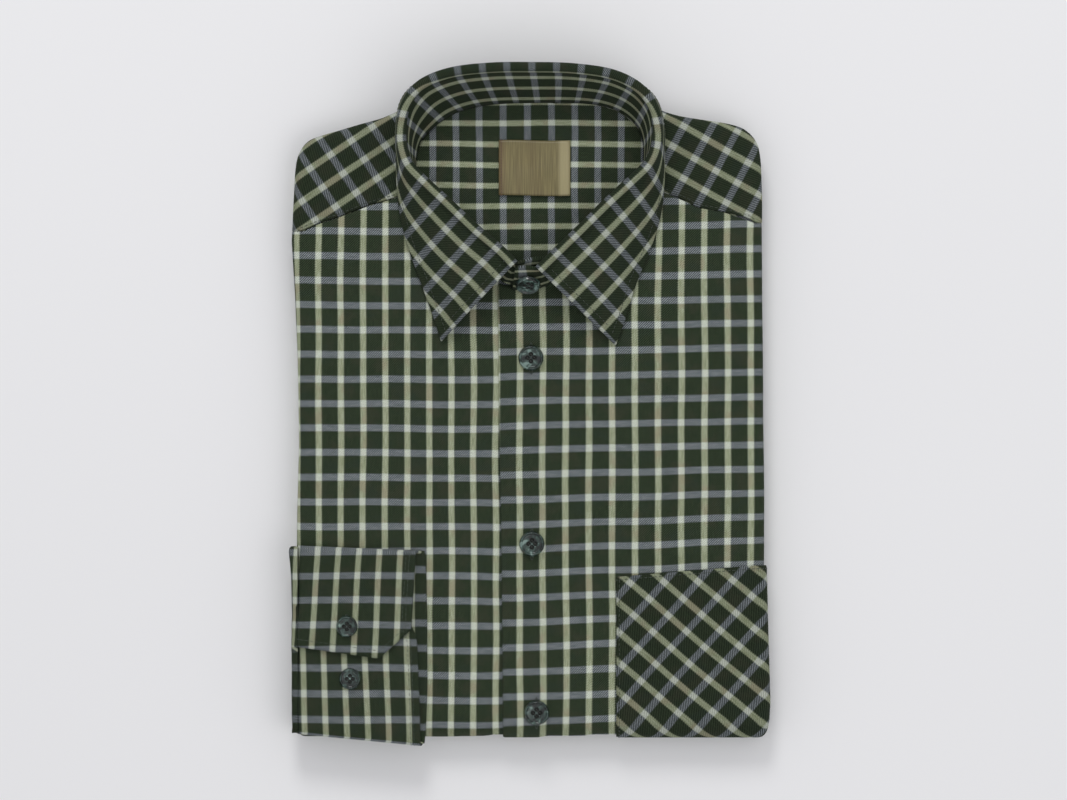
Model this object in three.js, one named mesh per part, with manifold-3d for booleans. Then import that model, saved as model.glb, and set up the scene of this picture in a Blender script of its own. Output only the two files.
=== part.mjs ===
// A check flannel shirt, folded flat and lying face up. Units are millimetres.
// X points to the image right (the wearer's left), Y to the collar and Z up.
// The folded body is a stack: the front lies over the hidden layers, turns round both
// side folds, and runs round the bottom fold to become the underside.
import * as THREE from 'three';
import { mergeVertices } from 'three/addons/utils/BufferGeometryUtils.js';
import Module from 'manifold-3d';

const wasm = await Module();
wasm.setup();

// Driving sizes
const CLOTH = 1.2;
const COLLAR_CLOTH = 1.5;
const GAP = 0.3;
const STEP_OUT = CLOTH + GAP;
const STACK_HEIGHT = 18;
const HALF = STACK_HEIGHT / 2;
const FOLD_REACH = 9.3;
const FOLD_Y = -169.3;
const FOLD_RUN = Math.PI * 9.15;
const ROLL = 4.2;
const ROLL_HALF = 4.4;
const LIP = 4;
const TAIL_END_Y = 125;
const CORE_MIDDLE_DEPTH = 8.0;
const CORE_LIP_DEPTH = 7.1;
const CORE_SIDE_GAP = 0.8;
const CORE_TUCK = 4.2;
const BUTTON_DIAMETER = 13.5;
const CUFF_BUTTON_DIAMETER = 11.5;

const GREEN = 0x313c2e;
const TAN = 0x8a8468;
const BUTTON_GREEN = 0x3a4238;

// Small tables, one row for each station, with named columns
function table(columns, rows) {
  return rows.map((row) => Object.fromEntries(columns.map((name, i) => [name, row[i]])));
}

function smooth(amount) {
  const t = Math.min(1, Math.max(0, amount));
  return t * t * (3 - 2 * t);
}

// Value of a column of a table that is sorted by falling key, eased between its rows
function lookUp(rows, key, at, column) {
  if (at >= rows[0][key]) return rows[0][column];
  for (let i = 1; i < rows.length; i += 1) {
    const high = rows[i - 1];
    const low = rows[i];
    if (at >= low[key]) {
      const share = (high[key] - at) / (high[key] - low[key]);
      return high[column] + (low[column] - high[column]) * share;
    }
  }
  return rows[rows.length - 1][column];
}

// Side folds of the body, seen from above
const sides = table(['y', 'left', 'right'], [
  [128, -125.0, 123.5],
  [110, -126.9, 125.0],
  [88, -128.0, 125.0],
  [60, -126.3, 125.2],
  [24, -124.6, 125.6],
  [-20, -124.0, 126.0],
  [-60, -125.0, 126.4],
  [-85, -125.2, 126.2],
  [-120, -125.2, 127.0],
  [-160, -125.2, 128.2],
  [-180, -125.0, 127.0],
]);

// Top edge of the right front and the left front: the yoke seam, then the neck
const rightFrontTop = table(['x', 'y'], [
  [6, 61.0],
  [0, 61.0],
  [-14, 65.5],
  [-28, 75.5],
  [-42, 89.5],
  [-52, 103.5],
  [-59, 117.0],
  [-71.6, 111.0],
  [-86.7, 106.7],
  [-101.8, 100.7],
  [-113.4, 96.9],
  [-121, 93.0],
]);
const leftFrontTop = table(['x', 'y'], [
  [121, 97.5],
  [104.5, 103.4],
  [90.5, 105.8],
  [85, 108.8],
  [73.7, 113.7],
  [60, 118.5],
  [53, 105.5],
  [43, 90.5],
  [29, 76.0],
  [14, 65.5],
  [0, 61.0],
  [-17, 66.0],
]);

// A closed wall between an outer and an inner grid of points of the same size
function wall(outer, inner) {
  const rows = outer.length;
  const columns = outer[0].length;
  const points = [...outer.flat(), ...inner.flat()];
  const index = [];
  const outside = (i, j) => i * columns + j;
  const inside = (i, j) => rows * columns + i * columns + j;
  const quad = (a, b, c, d) => index.push(a, b, c, a, c, d);
  for (let i = 0; i < rows - 1; i += 1) {
    for (let j = 0; j < columns - 1; j += 1) {
      quad(outside(i, j), outside(i + 1, j), outside(i + 1, j + 1), outside(i, j + 1));
      quad(inside(i, j), inside(i, j + 1), inside(i + 1, j + 1), inside(i + 1, j));
    }
    quad(outside(i, 0), inside(i, 0), inside(i + 1, 0), outside(i + 1, 0));
    const last = columns - 1;
    quad(outside(i, last), outside(i + 1, last), inside(i + 1, last), inside(i, last));
  }
  for (let j = 0; j < columns - 1; j += 1) {
    quad(outside(0, j), outside(0, j + 1), inside(0, j + 1), inside(0, j));
    const last = rows - 1;
    quad(outside(last, j), inside(last, j), inside(last, j + 1), outside(last, j + 1));
  }
  return solid(points, index);
}

function solid(points, index) {
  const geometry = new THREE.BufferGeometry();
  geometry.setAttribute('position', new THREE.Float32BufferAttribute(points.flatMap((p) => p.toArray()), 3));
  geometry.setIndex(index);
  if (signedVolume(geometry) < 0) {
    for (let i = 0; i < index.length; i += 3) [index[i + 1], index[i + 2]] = [index[i + 2], index[i + 1]];
    geometry.setIndex(index);
  }
  geometry.computeVertexNormals();
  return geometry;
}

function signedVolume(geometry) {
  const position = geometry.getAttribute('position');
  const index = geometry.getIndex().array;
  const corner = (i) => new THREE.Vector3().fromBufferAttribute(position, index[i]);
  let total = 0;
  for (let i = 0; i < index.length; i += 3) {
    total += corner(i).dot(corner(i + 1).cross(corner(i + 2))) / 6;
  }
  return total;
}

// Moves each point of a grid along the grid's normal
function offset(grid, distance) {
  const rows = grid.length;
  const columns = grid[0].length;
  return grid.map((row, i) => row.map((point, j) => {
    const up = grid[Math.max(0, i - 1)][j];
    const down = grid[Math.min(rows - 1, i + 1)][j];
    const before = row[Math.max(0, j - 1)];
    const after = row[Math.min(columns - 1, j + 1)];
    const normal = down.clone().sub(up).cross(after.clone().sub(before)).normalize();
    return point.clone().addScaledVector(normal, distance);
  }));
}

// Place on the folded stack: x across, run along the fold path, depth below its outer face
function onStack(x, run, depth) {
  if (run <= 0) return new THREE.Vector3(x, FOLD_Y - run, STACK_HEIGHT - depth);
  if (run >= FOLD_RUN) return new THREE.Vector3(x, FOLD_Y + run - FOLD_RUN, depth);
  const angle = (Math.PI * run) / FOLD_RUN;
  const y = FOLD_Y - (FOLD_REACH - depth) * Math.sin(angle);
  return new THREE.Vector3(x, y, HALF + (HALF - depth) * Math.cos(angle));
}

function heightOnPath(run) {
  return onStack(0, run, 0).y;
}

function sideEdge(side, run) {
  return lookUp(sides, 'y', heightOnPath(run), side < 0 ? 'left' : 'right');
}

// Columns across a panel: flat ones from the inner edge to the side fold, then the roll and lip
function panelColumns(flatCount, rollAngles, lips) {
  const columns = [];
  for (let i = 0; i <= flatCount; i += 1) columns.push({ share: i / flatCount, angle: 0, lip: 0 });
  rollAngles.forEach((angle) => columns.push({ share: 1, angle, lip: 0 }));
  lips.forEach((lip) => columns.push({ share: 1, angle: Math.PI, lip }));
  return columns;
}

function acrossPanel(column, side, innerX, run, inset) {
  const rollStart = sideEdge(side, run) - side * ROLL;
  if (column.angle === 0) {
    return { x: innerX + (rollStart - innerX) * column.share, depth: inset };
  }
  const x = rollStart + side * ((ROLL - inset) * Math.sin(column.angle) - column.lip);
  return { x, depth: ROLL_HALF - (ROLL_HALF - inset) * Math.cos(column.angle) };
}

// 0 on the face, 1 on the underside
function underShare(run) {
  return smooth(run / FOLD_RUN);
}

const POCKET_LEFT = 46.7;
const POCKET_TOP_RUN = FOLD_Y + 92.6;
const POCKET_END_RUN = FOLD_RUN + 38;

// How far the left front stands out over the right front, and gives way to the pocket below
function leftFrontInset(x, run) {
  const overlap = 1 - smooth((x - 5) / 5);
  const pocket = smooth((x - POCKET_LEFT + 18) / 6) * (1 - smooth((run - POCKET_END_RUN - 2) / 8));
  return (STEP_OUT * pocket * underShare(run)) - STEP_OUT * overlap * (1 - underShare(run));
}

function rightFrontInset(x, run) {
  return STEP_OUT * smooth((x + 24) / 5) * underShare(run);
}

const faceShares = [0, 0.08, 0.18, 0.3, 0.42, 0.54, 0.66, 0.76, 0.85, 0.93, 1];
const foldShares = [1 / 6, 2 / 6, 3 / 6, 4 / 6, 5 / 6, 1];
const tailRuns = [8, 20, 38, 44, 52, 120, 200, TAIL_END_Y - FOLD_Y];

function panelRuns(topRun, shares) {
  const runs = shares.map((share) => topRun * (1 - share));
  foldShares.forEach((share) => runs.push(FOLD_RUN * share));
  tailRuns.forEach((run) => runs.push(FOLD_RUN + run));
  return runs;
}

const ROLL_ANGLES = [0.2, 0.4, 0.6, 0.8, 1].map((share) => share * Math.PI);

function front(side, topTable, innerX, insetAt) {
  const columns = panelColumns(13, ROLL_ANGLES, [LIP]);
  const grid = (thickness) => {
    const byColumn = columns.map((column) => {
      const guess = acrossPanel(column, side, innerX(0), FOLD_Y - 100, 0).x;
      const topX = column.angle > 0 ? side * 121 : Math.min(Math.abs(guess), 121) * Math.sign(guess);
      const topRun = FOLD_Y - lookUp(topTable, 'x', topX, 'y');
      return panelRuns(topRun, faceShares).map((run) => {
        const flat = acrossPanel(column, side, innerX(run), run, 0);
        const inset = insetAt(flat.x, run) + thickness;
        const place = acrossPanel(column, side, innerX(run), run, inset);
        return onStack(place.x, run, place.depth);
      });
    });
    return byColumn[0].map((_, i) => byColumn.map((points) => points[i]));
  };
  return wall(grid(0), grid(CLOTH));
}

const overlapEdge = (run) => -16.7 + 2.4 * smooth((run + 230) / 230);
const frontLeft = front(1, leftFrontTop, overlapEdge, leftFrontInset);
const frontRight = front(-1, rightFrontTop, () => 2.5, rightFrontInset);

// Hidden layers: one solid bent round the bottom fold, stepped like cloth edges at the tail
const shoulderLine = table(['x', 'y'], [
  [126, 119],
  [114, 136],
  [97, 145],
  [75, 149.5],
  [55, 155],
  [0, 157.5],
  [-50, 155],
  [-75, 149.5],
  [-97, 142],
  [-114, 134],
  [-126, 117],
]);

function coreTopY(x) {
  return lookUp(shoulderLine, 'x', x, 'y');
}

const coreEnd = table(['pull', 'share'], [
  [0, 0.07],
  [0, 0.3],
  [2.5, 0.32],
  [2.5, 0.4],
  [0.8, 0.42],
  [0.8, 0.66],
  [3, 0.68],
  [3, 0.76],
  [0.4, 0.78],
  [0.4, 1],
]);

function foldedLayers() {
  const flats = 12;
  const across = [];
  const angles = [...ROLL_ANGLES].reverse();
  angles.forEach((angle, i) => across.push({ side: -1, angle, tuck: 0.7 * (i + 1) }));
  for (let i = 0; i <= flats; i += 1) across.push({ flat: i / flats });
  ROLL_ANGLES.forEach((angle, i) => across.push({ side: 1, angle, tuck: 0.7 * (ROLL_ANGLES.length - i) }));
  const insetAt = (x, run) => {
    const left = leftFrontInset(x, run) + STEP_OUT;
    const right = rightFrontInset(x, run) + STEP_OUT;
    const middle = 2 * STEP_OUT * underShare(run) + STEP_OUT * (1 - underShare(run));
    if (x < -26) return right;
    if (x > 14) return left;
    return Math.max(middle, STEP_OUT);
  };
  const lipDepth = (x, run) => CORE_LIP_DEPTH - 1.2 * Math.max(0, leftFrontInset(x, run));
  const place = (column, run, innerRun, share) => {
    const leftStart = sideEdge(-1, run) + ROLL + CORE_SIDE_GAP;
    const rightStart = sideEdge(1, run) - ROLL - CORE_SIDE_GAP;
    if (column.flat !== undefined) {
      const x = leftStart + (rightStart - leftStart) * column.flat;
      const innerX = x + CORE_TUCK * (1 - 2 * column.flat);
      const nearLip = Math.abs(innerX) > 111 || heightOnPath(innerRun) > 95;
      const inner = nearLip ? lipDepth(innerX, innerRun) : CORE_MIDDLE_DEPTH;
      const face = insetAt(x, run);
      const outerDepth = face + (CORE_LIP_DEPTH - 0.4 - face) * share;
      return { outer: onStack(x, run, outerDepth), inner: onStack(innerX, innerRun, inner) };
    }
    const start = column.side < 0 ? leftStart : rightStart;
    const face = insetAt(start, run);
    const inset = face + (3.9 - face) * share;
    const x = start + column.side * (ROLL - inset) * Math.sin(column.angle);
    const innerDepth = lipDepth(column.side * 126, run);
    const depth = ROLL_HALF - (ROLL_HALF - inset) * Math.cos(column.angle);
    const innerX = start - column.side * column.tuck;
    return {
      outer: onStack(x, run, Math.min(depth, innerDepth - 0.3)),
      inner: onStack(innerX, innerRun, innerDepth),
    };
  };
  const outer = [];
  const inner = [];
  const addRow = (runOf, share, innerRunOf = runOf) => {
    const row = across.map((column) => {
      const x = column.flat === undefined ? column.side * 126 : -121 + 242 * column.flat;
      return place(column, runOf(x), innerRunOf(x), share);
    });
    outer.push(row.map((entry) => entry.outer));
    inner.push(row.map((entry) => entry.inner));
  };
  const topRun = (x) => FOLD_Y - coreTopY(x);
  const fullRun = (x) => topRun(x) + 2.5;
  addRow(topRun, 0.4);
  const faceSteps = [0, 0.06, 0.14, 0.25, 0.38, 0.52, 0.66, 0.8, 0.92, 1];
  faceSteps.forEach((step) => addRow((x) => fullRun(x) * (1 - step), 0));
  foldShares.forEach((step) => addRow(() => FOLD_RUN * step, 0));
  tailRuns.slice(0, -1).forEach((run) => addRow(() => FOLD_RUN + run, 0));
  const end = FOLD_RUN + TAIL_END_Y - FOLD_Y - 2;
  coreEnd.forEach((step, i) => addRow(() => end - step.pull, step.share, () => end - 8 + 0.8 * i));
  return wall(outer, inner);
}

// Yoke: from its seam or the neck, over the top edge and down to the back
const yokeRightSide = table(['seamX', 'seamY', 'edgeX', 'edgeY', 'lip'], [
  [120.8, 97.8, 125.1, 97.8, 4],
  [120.3, 98.4, 125.1, 110, 4],
  [119.2, 99.4, 124.8, 122, 5],
  [117.6, 100.1, 124.0, 134, 7],
  [115.0, 100.9, 121.6, 142, 14],
  [110.5, 102.1, 115.0, 148.4, 20],
  [104.5, 103.7, 105.5, 151.3, 22],
  [90.5, 106.1, 96.0, 152.8, 24],
  [85.0, 109.1, 88.0, 154.0, 25],
  [73.7, 114.0, 80.0, 155.4, 27],
  [61.5, 118.6, 73.0, 157.5, 29],
  [61.8, 126.0, 69.0, 159.2, 30],
  [61.6, 134.5, 65.5, 160.8, 32],
  [61.0, 143.0, 61.0, 162.3, 33],
  [55.5, 151.5, 55.0, 163.8, 34],
  [46.0, 158.0, 46.0, 165.4, 35],
  [33.0, 161.4, 33.0, 166.4, 36],
  [17.0, 162.0, 17.0, 166.8, 36],
]);
const yokeLeftSide = table(['seamX', 'seamY', 'edgeX', 'edgeY', 'lip'], [
  [0.0, 162.0, 0.0, 166.8, 36],
  [-17.0, 161.6, -17.0, 166.6, 36],
  [-30.0, 159.9, -30.0, 165.6, 36],
  [-42.0, 156.0, -42.0, 164.5, 35],
  [-51.0, 149.5, -51.0, 163.4, 34],
  [-58.5, 142.0, -59.0, 161.9, 33],
  [-61.8, 133.0, -65.0, 160.0, 31],
  [-61.5, 125.0, -69.5, 158.3, 29],
  [-60.6, 117.4, -74.0, 156.3, 28],
  [-71.6, 111.3, -80.5, 153.6, 26],
  [-86.7, 107.0, -90.0, 151.0, 24],
  [-101.8, 101.0, -101.0, 147.8, 20],
  [-110.0, 98.4, -111.0, 144.9, 18],
  [-116.5, 95.9, -119.0, 141.6, 14],
  [-119.0, 94.9, -124.0, 135.0, 9],
  [-121.0, 94.1, -126.0, 126.0, 5],
  [-122.4, 93.6, -126.8, 112.0, 4],
  [-123.2, 93.3, -127.7, 93.3, 4],
]);

function yoke() {
  const stations = [...yokeRightSide, ...yokeLeftSide];
  const edge = stations.map((row) => new THREE.Vector2(row.edgeX, row.edgeY));
  const grid = (inset) => {
    const byStation = stations.map((row, i) => {
      const before = edge[Math.max(0, i - 1)];
      const after = edge[Math.min(edge.length - 1, i + 1)];
      const along = after.clone().sub(before).normalize();
      const out = new THREE.Vector2(along.y, -along.x);
      if (i === 0) out.set(1, 0);
      if (i === edge.length - 1) out.set(-1, 0);
      const seam = new THREE.Vector2(row.seamX, row.seamY);
      const rollStart = edge[i].clone().addScaledVector(out, -ROLL);
      const points = [0, 0.35, 0.7].map((share) => {
        const place = seam.clone().lerp(rollStart, share);
        return new THREE.Vector3(place.x, place.y, STACK_HEIGHT - inset);
      });
      [0, ...ROLL_ANGLES].forEach((angle) => {
        const place = rollStart.clone().addScaledVector(out, (ROLL - inset) * Math.sin(angle));
        const depth = ROLL_HALF - (ROLL_HALF - inset) * Math.cos(angle);
        points.push(new THREE.Vector3(place.x, place.y, STACK_HEIGHT - depth));
      });
      [0.5, 1].forEach((share) => {
        const place = rollStart.clone().addScaledVector(out, -row.lip * share);
        points.push(new THREE.Vector3(place.x, place.y, HALF + 0.2 + inset));
      });
      return points;
    });
    return byStation[0].map((_, i) => byStation.map((points) => points[i]));
  };
  return wall(grid(0), grid(CLOTH));
}

// Neck opening, seen from above, where the yoke lining shows
const neck = table(['y', 'left', 'right'], [
  [163.0, -14, 34],
  [160.5, -29, 45],
  [156.5, -41, 53],
  [150.5, -50, 58.5],
  [141.0, -59, 61.5],
  [131.0, -62, 62],
  [118.0, -60.5, 61.5],
  [104.0, -54, 55],
  [90.0, -44.5, 45.5],
  [76.0, -31, 32],
  [68.0, -20, 20],
]);
const LINING_TOP = 16.5;

function flatPiece(rows, columns, top, thickness) {
  const grid = (z) => rows.map((row) => {
    const points = [];
    for (let j = 0; j <= columns; j += 1) {
      points.push(new THREE.Vector3(row.left + ((row.right - row.left) * j) / columns, row.y, z));
    }
    return points;
  });
  return wall(grid(top), grid(top - thickness));
}

const innerYoke = flatPiece(neck, 8, LINING_TOP, CLOTH);
const neckRecess = flatPiece(
  neck.map((row, i) => ({
    y: row.y + (i === 0 ? 0.4 : 0) - (i === neck.length - 1 ? 0.4 : 0),
    left: row.left - 0.8,
    right: row.right + 0.8,
  })),
  1,
  STACK_HEIGHT + 6,
  STACK_HEIGHT + 6 - (LINING_TOP - CLOTH - GAP),
);

const label = flatPiece(
  table(['y', 'left', 'right'], [
    [142, -16.5, 21.9],
    [112.3, -16.5, 21.9],
  ]),
  1,
  LINING_TOP + GAP + 1,
  1,
);

// Collar: each row joins a place on the stand's seam to the ridge and to the leaf's edge
const collarColumns = ['ridgeX', 'ridgeY', 'ridgeZ', 'baseX', 'baseY', 'edgeX', 'edgeY', 'edgeZ'];
const collarLeft = table(collarColumns, [
  [-8.4, 74.8, 37.5, -13, 67.2, -47.6, 34.0, 20.2],
  [-16.5, 83.2, 38.5, -21, 73.0, -51.4, 46.0, 20.2],
  [-29.4, 94.2, 39.5, -34, 83.5, -57.5, 62.9, 20.2],
  [-43.5, 107.5, 40.5, -47, 98.0, -65.5, 85.1, 20.2],
  [-56.0, 119.0, 41.3, -56, 112.5, -69.8, 103.0, 20.0],
  [-64.6, 128.0, 42.0, -60.5, 124, -71.4, 117.0, 19.6],
  [-68.2, 138.5, 43.0, -60.5, 134, -71.9, 132.0, 19.3],
  [-68.4, 150.0, 44.0, -57.5, 142.5, -72.0, 149.5, 20.0],
  [-65.6, 161.5, 45.0, -50.5, 149.5, -69.2, 164.2, 15.5],
  [-57.5, 171.2, 46.2, -41.5, 155.7, -60.0, 174.0, 8.5],
  [-42.0, 177.4, 47.2, -29.5, 159.6, -43.0, 180.9, 7.0],
  [-21.0, 179.9, 48.0, -15, 161.5, -21.4, 183.2, 6.5],
]);
const collarRight = table(collarColumns, [
  [1.0, 180.2, 48.2, 3, 161.9, 1.0, 183.4, 6.5],
  [23.0, 179.6, 48.0, 21, 162.0, 23.6, 182.9, 6.5],
  [43.5, 176.6, 47.2, 36, 160.9, 45.0, 179.9, 7.0],
  [57.5, 170.0, 46.2, 48.5, 157.0, 60.2, 172.6, 8.5],
  [65.4, 160.8, 45.0, 57.5, 149.5, 69.0, 163.5, 15.5],
  [68.4, 150.0, 44.0, 60.8, 141.5, 72.6, 149.5, 20.0],
  [67.8, 138.5, 43.0, 61.2, 133.0, 72.8, 132.0, 19.3],
  [63.6, 128.8, 42.0, 60.8, 123.5, 72.5, 115.5, 19.6],
  [54.0, 119.2, 41.3, 56.5, 111.8, 70.0, 99.0, 20.0],
  [42.0, 108.0, 40.5, 47.5, 97.2, 64.4, 81.5, 20.2],
  [28.9, 95.0, 39.5, 34.5, 82.5, 57.5, 65.1, 20.2],
  [15.4, 82.0, 38.5, 20.5, 71.5, 51.6, 46.0, 20.2],
  [5.1, 71.9, 37.5, 10.5, 65.6, 46.4, 31.8, 20.2],
]);

function alongRow(rows, names, steps) {
  const curve = new THREE.CatmullRomCurve3(rows.map((row) => new THREE.Vector3(...names.map((n) => row[n]))));
  const points = [];
  const count = (rows.length - 1) * steps;
  for (let i = 0; i <= count; i += 1) points.push(curve.getPoint(i / count));
  return points;
}

const STAND_BASE_Z = 18.4;
const collarRows = [...collarLeft, ...collarRight];
const overOverlap = (x) => (x < 0 ? 0 : 1.15 * STEP_OUT * smooth((22 - x) / 8));
const collarBase = collarRows.map((row) => ({ ...row, baseZ: STAND_BASE_Z + overOverlap(row.baseX) }));
const ridgeLine = alongRow(collarRows, ['ridgeX', 'ridgeY', 'ridgeZ'], 2);
const baseLine = alongRow(collarBase, ['baseX', 'baseY', 'baseZ'], 2);
const edgeLine = alongRow(collarRows, ['edgeX', 'edgeY', 'edgeZ'], 2);

// Level direction from the ridge to the inside of the neck
function inward(line, i) {
  const before = line[Math.max(0, i - 1)];
  const after = line[Math.min(line.length - 1, i + 1)];
  const along = after.clone().sub(before).setZ(0).normalize();
  return new THREE.Vector3(along.y, -along.x, 0);
}

const STAND_TOP_DROP = 3.8;
const LEAF_SEAM = 0.5;
const STAND_IN = 2.9;
const LEAF_OUT = 2.7;

function standTop(i) {
  const drop = new THREE.Vector3(0, 0, -STAND_TOP_DROP);
  return ridgeLine[i].clone().addScaledVector(inward(ridgeLine, i), STAND_IN).add(drop);
}

// The stand's inner face; its ends pass each other at the front, the wearer's left one outside
const underEnd = [
  { base: new THREE.Vector3(9, 66.0, 19.9), top: new THREE.Vector3(9.5, 79.6, 33.4) },
  { base: new THREE.Vector3(-2, 64.6, 19.7), top: new THREE.Vector3(1.5, 79.0, 33.6) },
];
const overEnd = [
  { base: new THREE.Vector3(1, 62.2, 20.0), top: new THREE.Vector3(-1.5, 74.6, 35.6) },
  { base: new THREE.Vector3(-9.0, 63.0, 20.0), top: new THREE.Vector3(-7.6, 74.2, 34.4) },
];

// Gives one row of a grid the heights of the other grid's row, for a level edge
function levelRow(grid, other, row) {
  grid[row].forEach((point, j) => point.setZ(other[row][j].z));
}

function collarStand() {
  const stations = [
    ...underEnd,
    ...ridgeLine.map((_, i) => ({ base: baseLine[i], top: standTop(i) })),
    ...overEnd,
  ];
  const shares = [0, 0.33, 0.66, 1];
  const inner = shares.map((share) => stations.map((station) => station.base.clone().lerp(station.top, share)));
  const outer = offset(inner, COLLAR_CLOTH);
  levelRow(outer, inner, 0);
  levelRow(outer, inner, shares.length - 1);
  return wall(outer, inner);
}

function collarLeaf() {
  const stations = ridgeLine.map((ridge, i) => {
    const toNeck = inward(ridgeLine, i);
    const start = standTop(i).setZ(ridge.z - STAND_TOP_DROP + LEAF_SEAM);
    const rise = ridge.clone().addScaledVector(toNeck, STAND_IN * 0.75).setZ(ridge.z - 0.9);
    const shoulder = ridge.clone().addScaledVector(toNeck, -LEAF_OUT * 0.8).setZ(ridge.z - 1.0);
    const outside = ridge.clone().addScaledVector(toNeck, -LEAF_OUT).setZ(ridge.z - 3.4);
    const edge = edgeLine[i];
    const reach = outside.distanceTo(edge);
    const spread = Math.hypot(outside.x - edge.x, outside.y - edge.y) / reach;
    const lift = new THREE.Vector3(0, 0, 0.05 * reach * spread);
    const points = [start, rise, ridge.clone(), shoulder, outside];
    [0.25, 0.5, 0.75].forEach((share) => {
      points.push(outside.clone().lerp(edge, share).addScaledVector(lift, 4 * share * (1 - share)));
    });
    points.push(edge.clone());
    return points;
  });
  const outer = stations[0].map((_, i) => stations.map((points) => points[i]));
  const inner = offset(outer, COLLAR_CLOTH);
  levelRow(inner, outer, 0);
  return wall(outer, inner);
}

// Pocket, on the bias, made from the left front's own places and moved out
function pocket() {
  const flatCount = 5;
  const columns = [];
  for (let i = 0; i <= flatCount; i += 1) columns.push({ share: i / flatCount, angle: 0, lip: 0 });
  [0.2, 0.4, 0.6].forEach((share) => columns.push({ share: 1, angle: share * Math.PI, lip: 0 }));
  const grid = (out) => {
    const byColumn = columns.map((column) => {
      const rise = 6.2 * (column.angle === 0 ? column.share : 1);
      const start = POCKET_TOP_RUN - rise;
      const runs = [0, 0.2, 0.45, 0.75, 1].map((share) => start * (1 - share));
      foldShares.forEach((share) => runs.push(FOLD_RUN * share));
      runs.push(FOLD_RUN + 8, FOLD_RUN + 20, POCKET_END_RUN);
      return runs.map((run) => {
        const flat = acrossPanel(column, 1, POCKET_LEFT, run, 0);
        const inset = leftFrontInset(flat.x, run) - out;
        const place = acrossPanel(column, 1, POCKET_LEFT, run, inset);
        return onStack(place.x, run, place.depth);
      });
    });
    return byColumn[0].map((_, i) => byColumn.map((points) => points[i]));
  };
  return wall(grid(STEP_OUT), grid(GAP));
}

// Cuff: a flattened band round the wrist, one length of cloth whose two ends overlap on top.
// Each row is a place round the band on its outer face, at the hand opening and at the sleeve.
const cuffBand = table(['y', 'z', 'handX', 'sleeveY'], [
  [-120.7, 24.2, -63.4, -130.1],
  [-112.0, 24.2, -62.9, -118.0],
  [-104.0, 22.9, -62.4, -106.0],
  [-90.0, 22.6, -61.6, -90.0],
  [-80.6, 22.4, -60.9, -78.4],
  [-78.9, 21.6, -60.8, -76.2],
  [-78.4, 20.4, -60.6, -75.7],
  [-79.0, 19.1, -58.0, -76.3],
  [-81.0, 18.4, -56.6, -78.4],
  [-105.0, 18.3, -55.6, -105.0],
  [-130.0, 18.3, -55.4, -130.0],
  [-155.0, 18.3, -55.4, -152.0],
  [-179.4, 18.3, -56.6, -173.6],
  [-182.2, 18.9, -57.4, -176.2],
  [-183.4, 20.2, -58.2, -177.0],
  [-182.2, 21.6, -58.5, -176.2],
  [-179.8, 22.3, -58.6, -173.8],
  [-160.0, 22.4, -59.0, -158.0],
  [-140.0, 22.4, -59.8, -142.0],
  [-126.0, 22.4, -60.6, -128.0],
  [-118.0, 22.3, -63.5, -120.0],
  [-112.0, 22.2, -64.5, -112.0],
]);
const MITRE_X = -80.7;
const MITRE_Y = -136.4;
const CUFF_CLOTH = 1.4;
const CUFF_END_X = -124.3;
const CUFF_TURN_X = -119.5;
const cuffTurns = [-121.2, -122.8, CUFF_END_X];

function rollDrop(x) {
  const reach = Math.max(0, -x - (125.2 - ROLL)) / ROLL;
  return ROLL_HALF * (1 - Math.sqrt(Math.max(0, 1 - reach * reach)));
}

function cuff() {
  const flatShares = [0, 0.15, 0.3, 0.5, 0.75, 1];
  const outer = cuffBand.map((row, i) => {
    const flat = flatShares.map((share) => row.handX + (CUFF_TURN_X - row.handX) * share);
    return [...flat, ...cuffTurns].map((x) => {
      const share = (x - row.handX) / (CUFF_END_X - row.handX);
      let y = row.y + (row.sleeveY - row.y) * share;
      if (i === 0) {
        const atMitre = (row.handX - MITRE_X) / (row.handX - CUFF_END_X);
        const toMitre = Math.min(1, share / atMitre);
        const past = Math.max(0, (share - atMitre) / (1 - atMitre));
        y = row.y + (MITRE_Y - row.y) * toMitre + (row.sleeveY - MITRE_Y) * past;
      }
      return new THREE.Vector3(x, y, row.z - rollDrop(x));
    });
  });
  return wall(outer, offset(outer, -CUFF_CLOTH));
}

// Sleeve: from the cuff's seam round the side fold to the crease between the two rolls
const sleeveSection = table(['x', 'z'], [
  [-125.4, 23.0],
  [-126.1, 22.4],
  [-127.0, 20.6],
  [-127.4, 17.5],
  [-127.3, 13.5],
  [-127.1, 11.9],
  [-126.6, 10.6],
]);
const sleeveEnds = table(['y', 'out', 'pinch'], [
  [-76.2, 0.6, 1.2],
  [-79.0, 1.9, 0.3],
  [-90.0, 0.9, 0],
  [-110.0, 0.2, 0],
  [-130.0, 0.4, 0],
  [-150.0, 0.3, 0],
  [-166.0, 0.2, 0],
  [-173.6, 0, 0.3],
  [-176.4, -0.4, 1.2],
]);

function sleeve() {
  const outer = sleeveEnds.map((end) => sleeveSection.map((place, i) => {
    const middle = Math.sin((Math.PI * i) / (sleeveSection.length - 1));
    const top = place.z - (i < 3 ? end.pinch : 0);
    return new THREE.Vector3(place.x - end.out * middle, end.y, top);
  }));
  const flipped = outer.map((row) => [...row].reverse());
  return wall(flipped, offset(flipped, -CLOTH));
}

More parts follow.
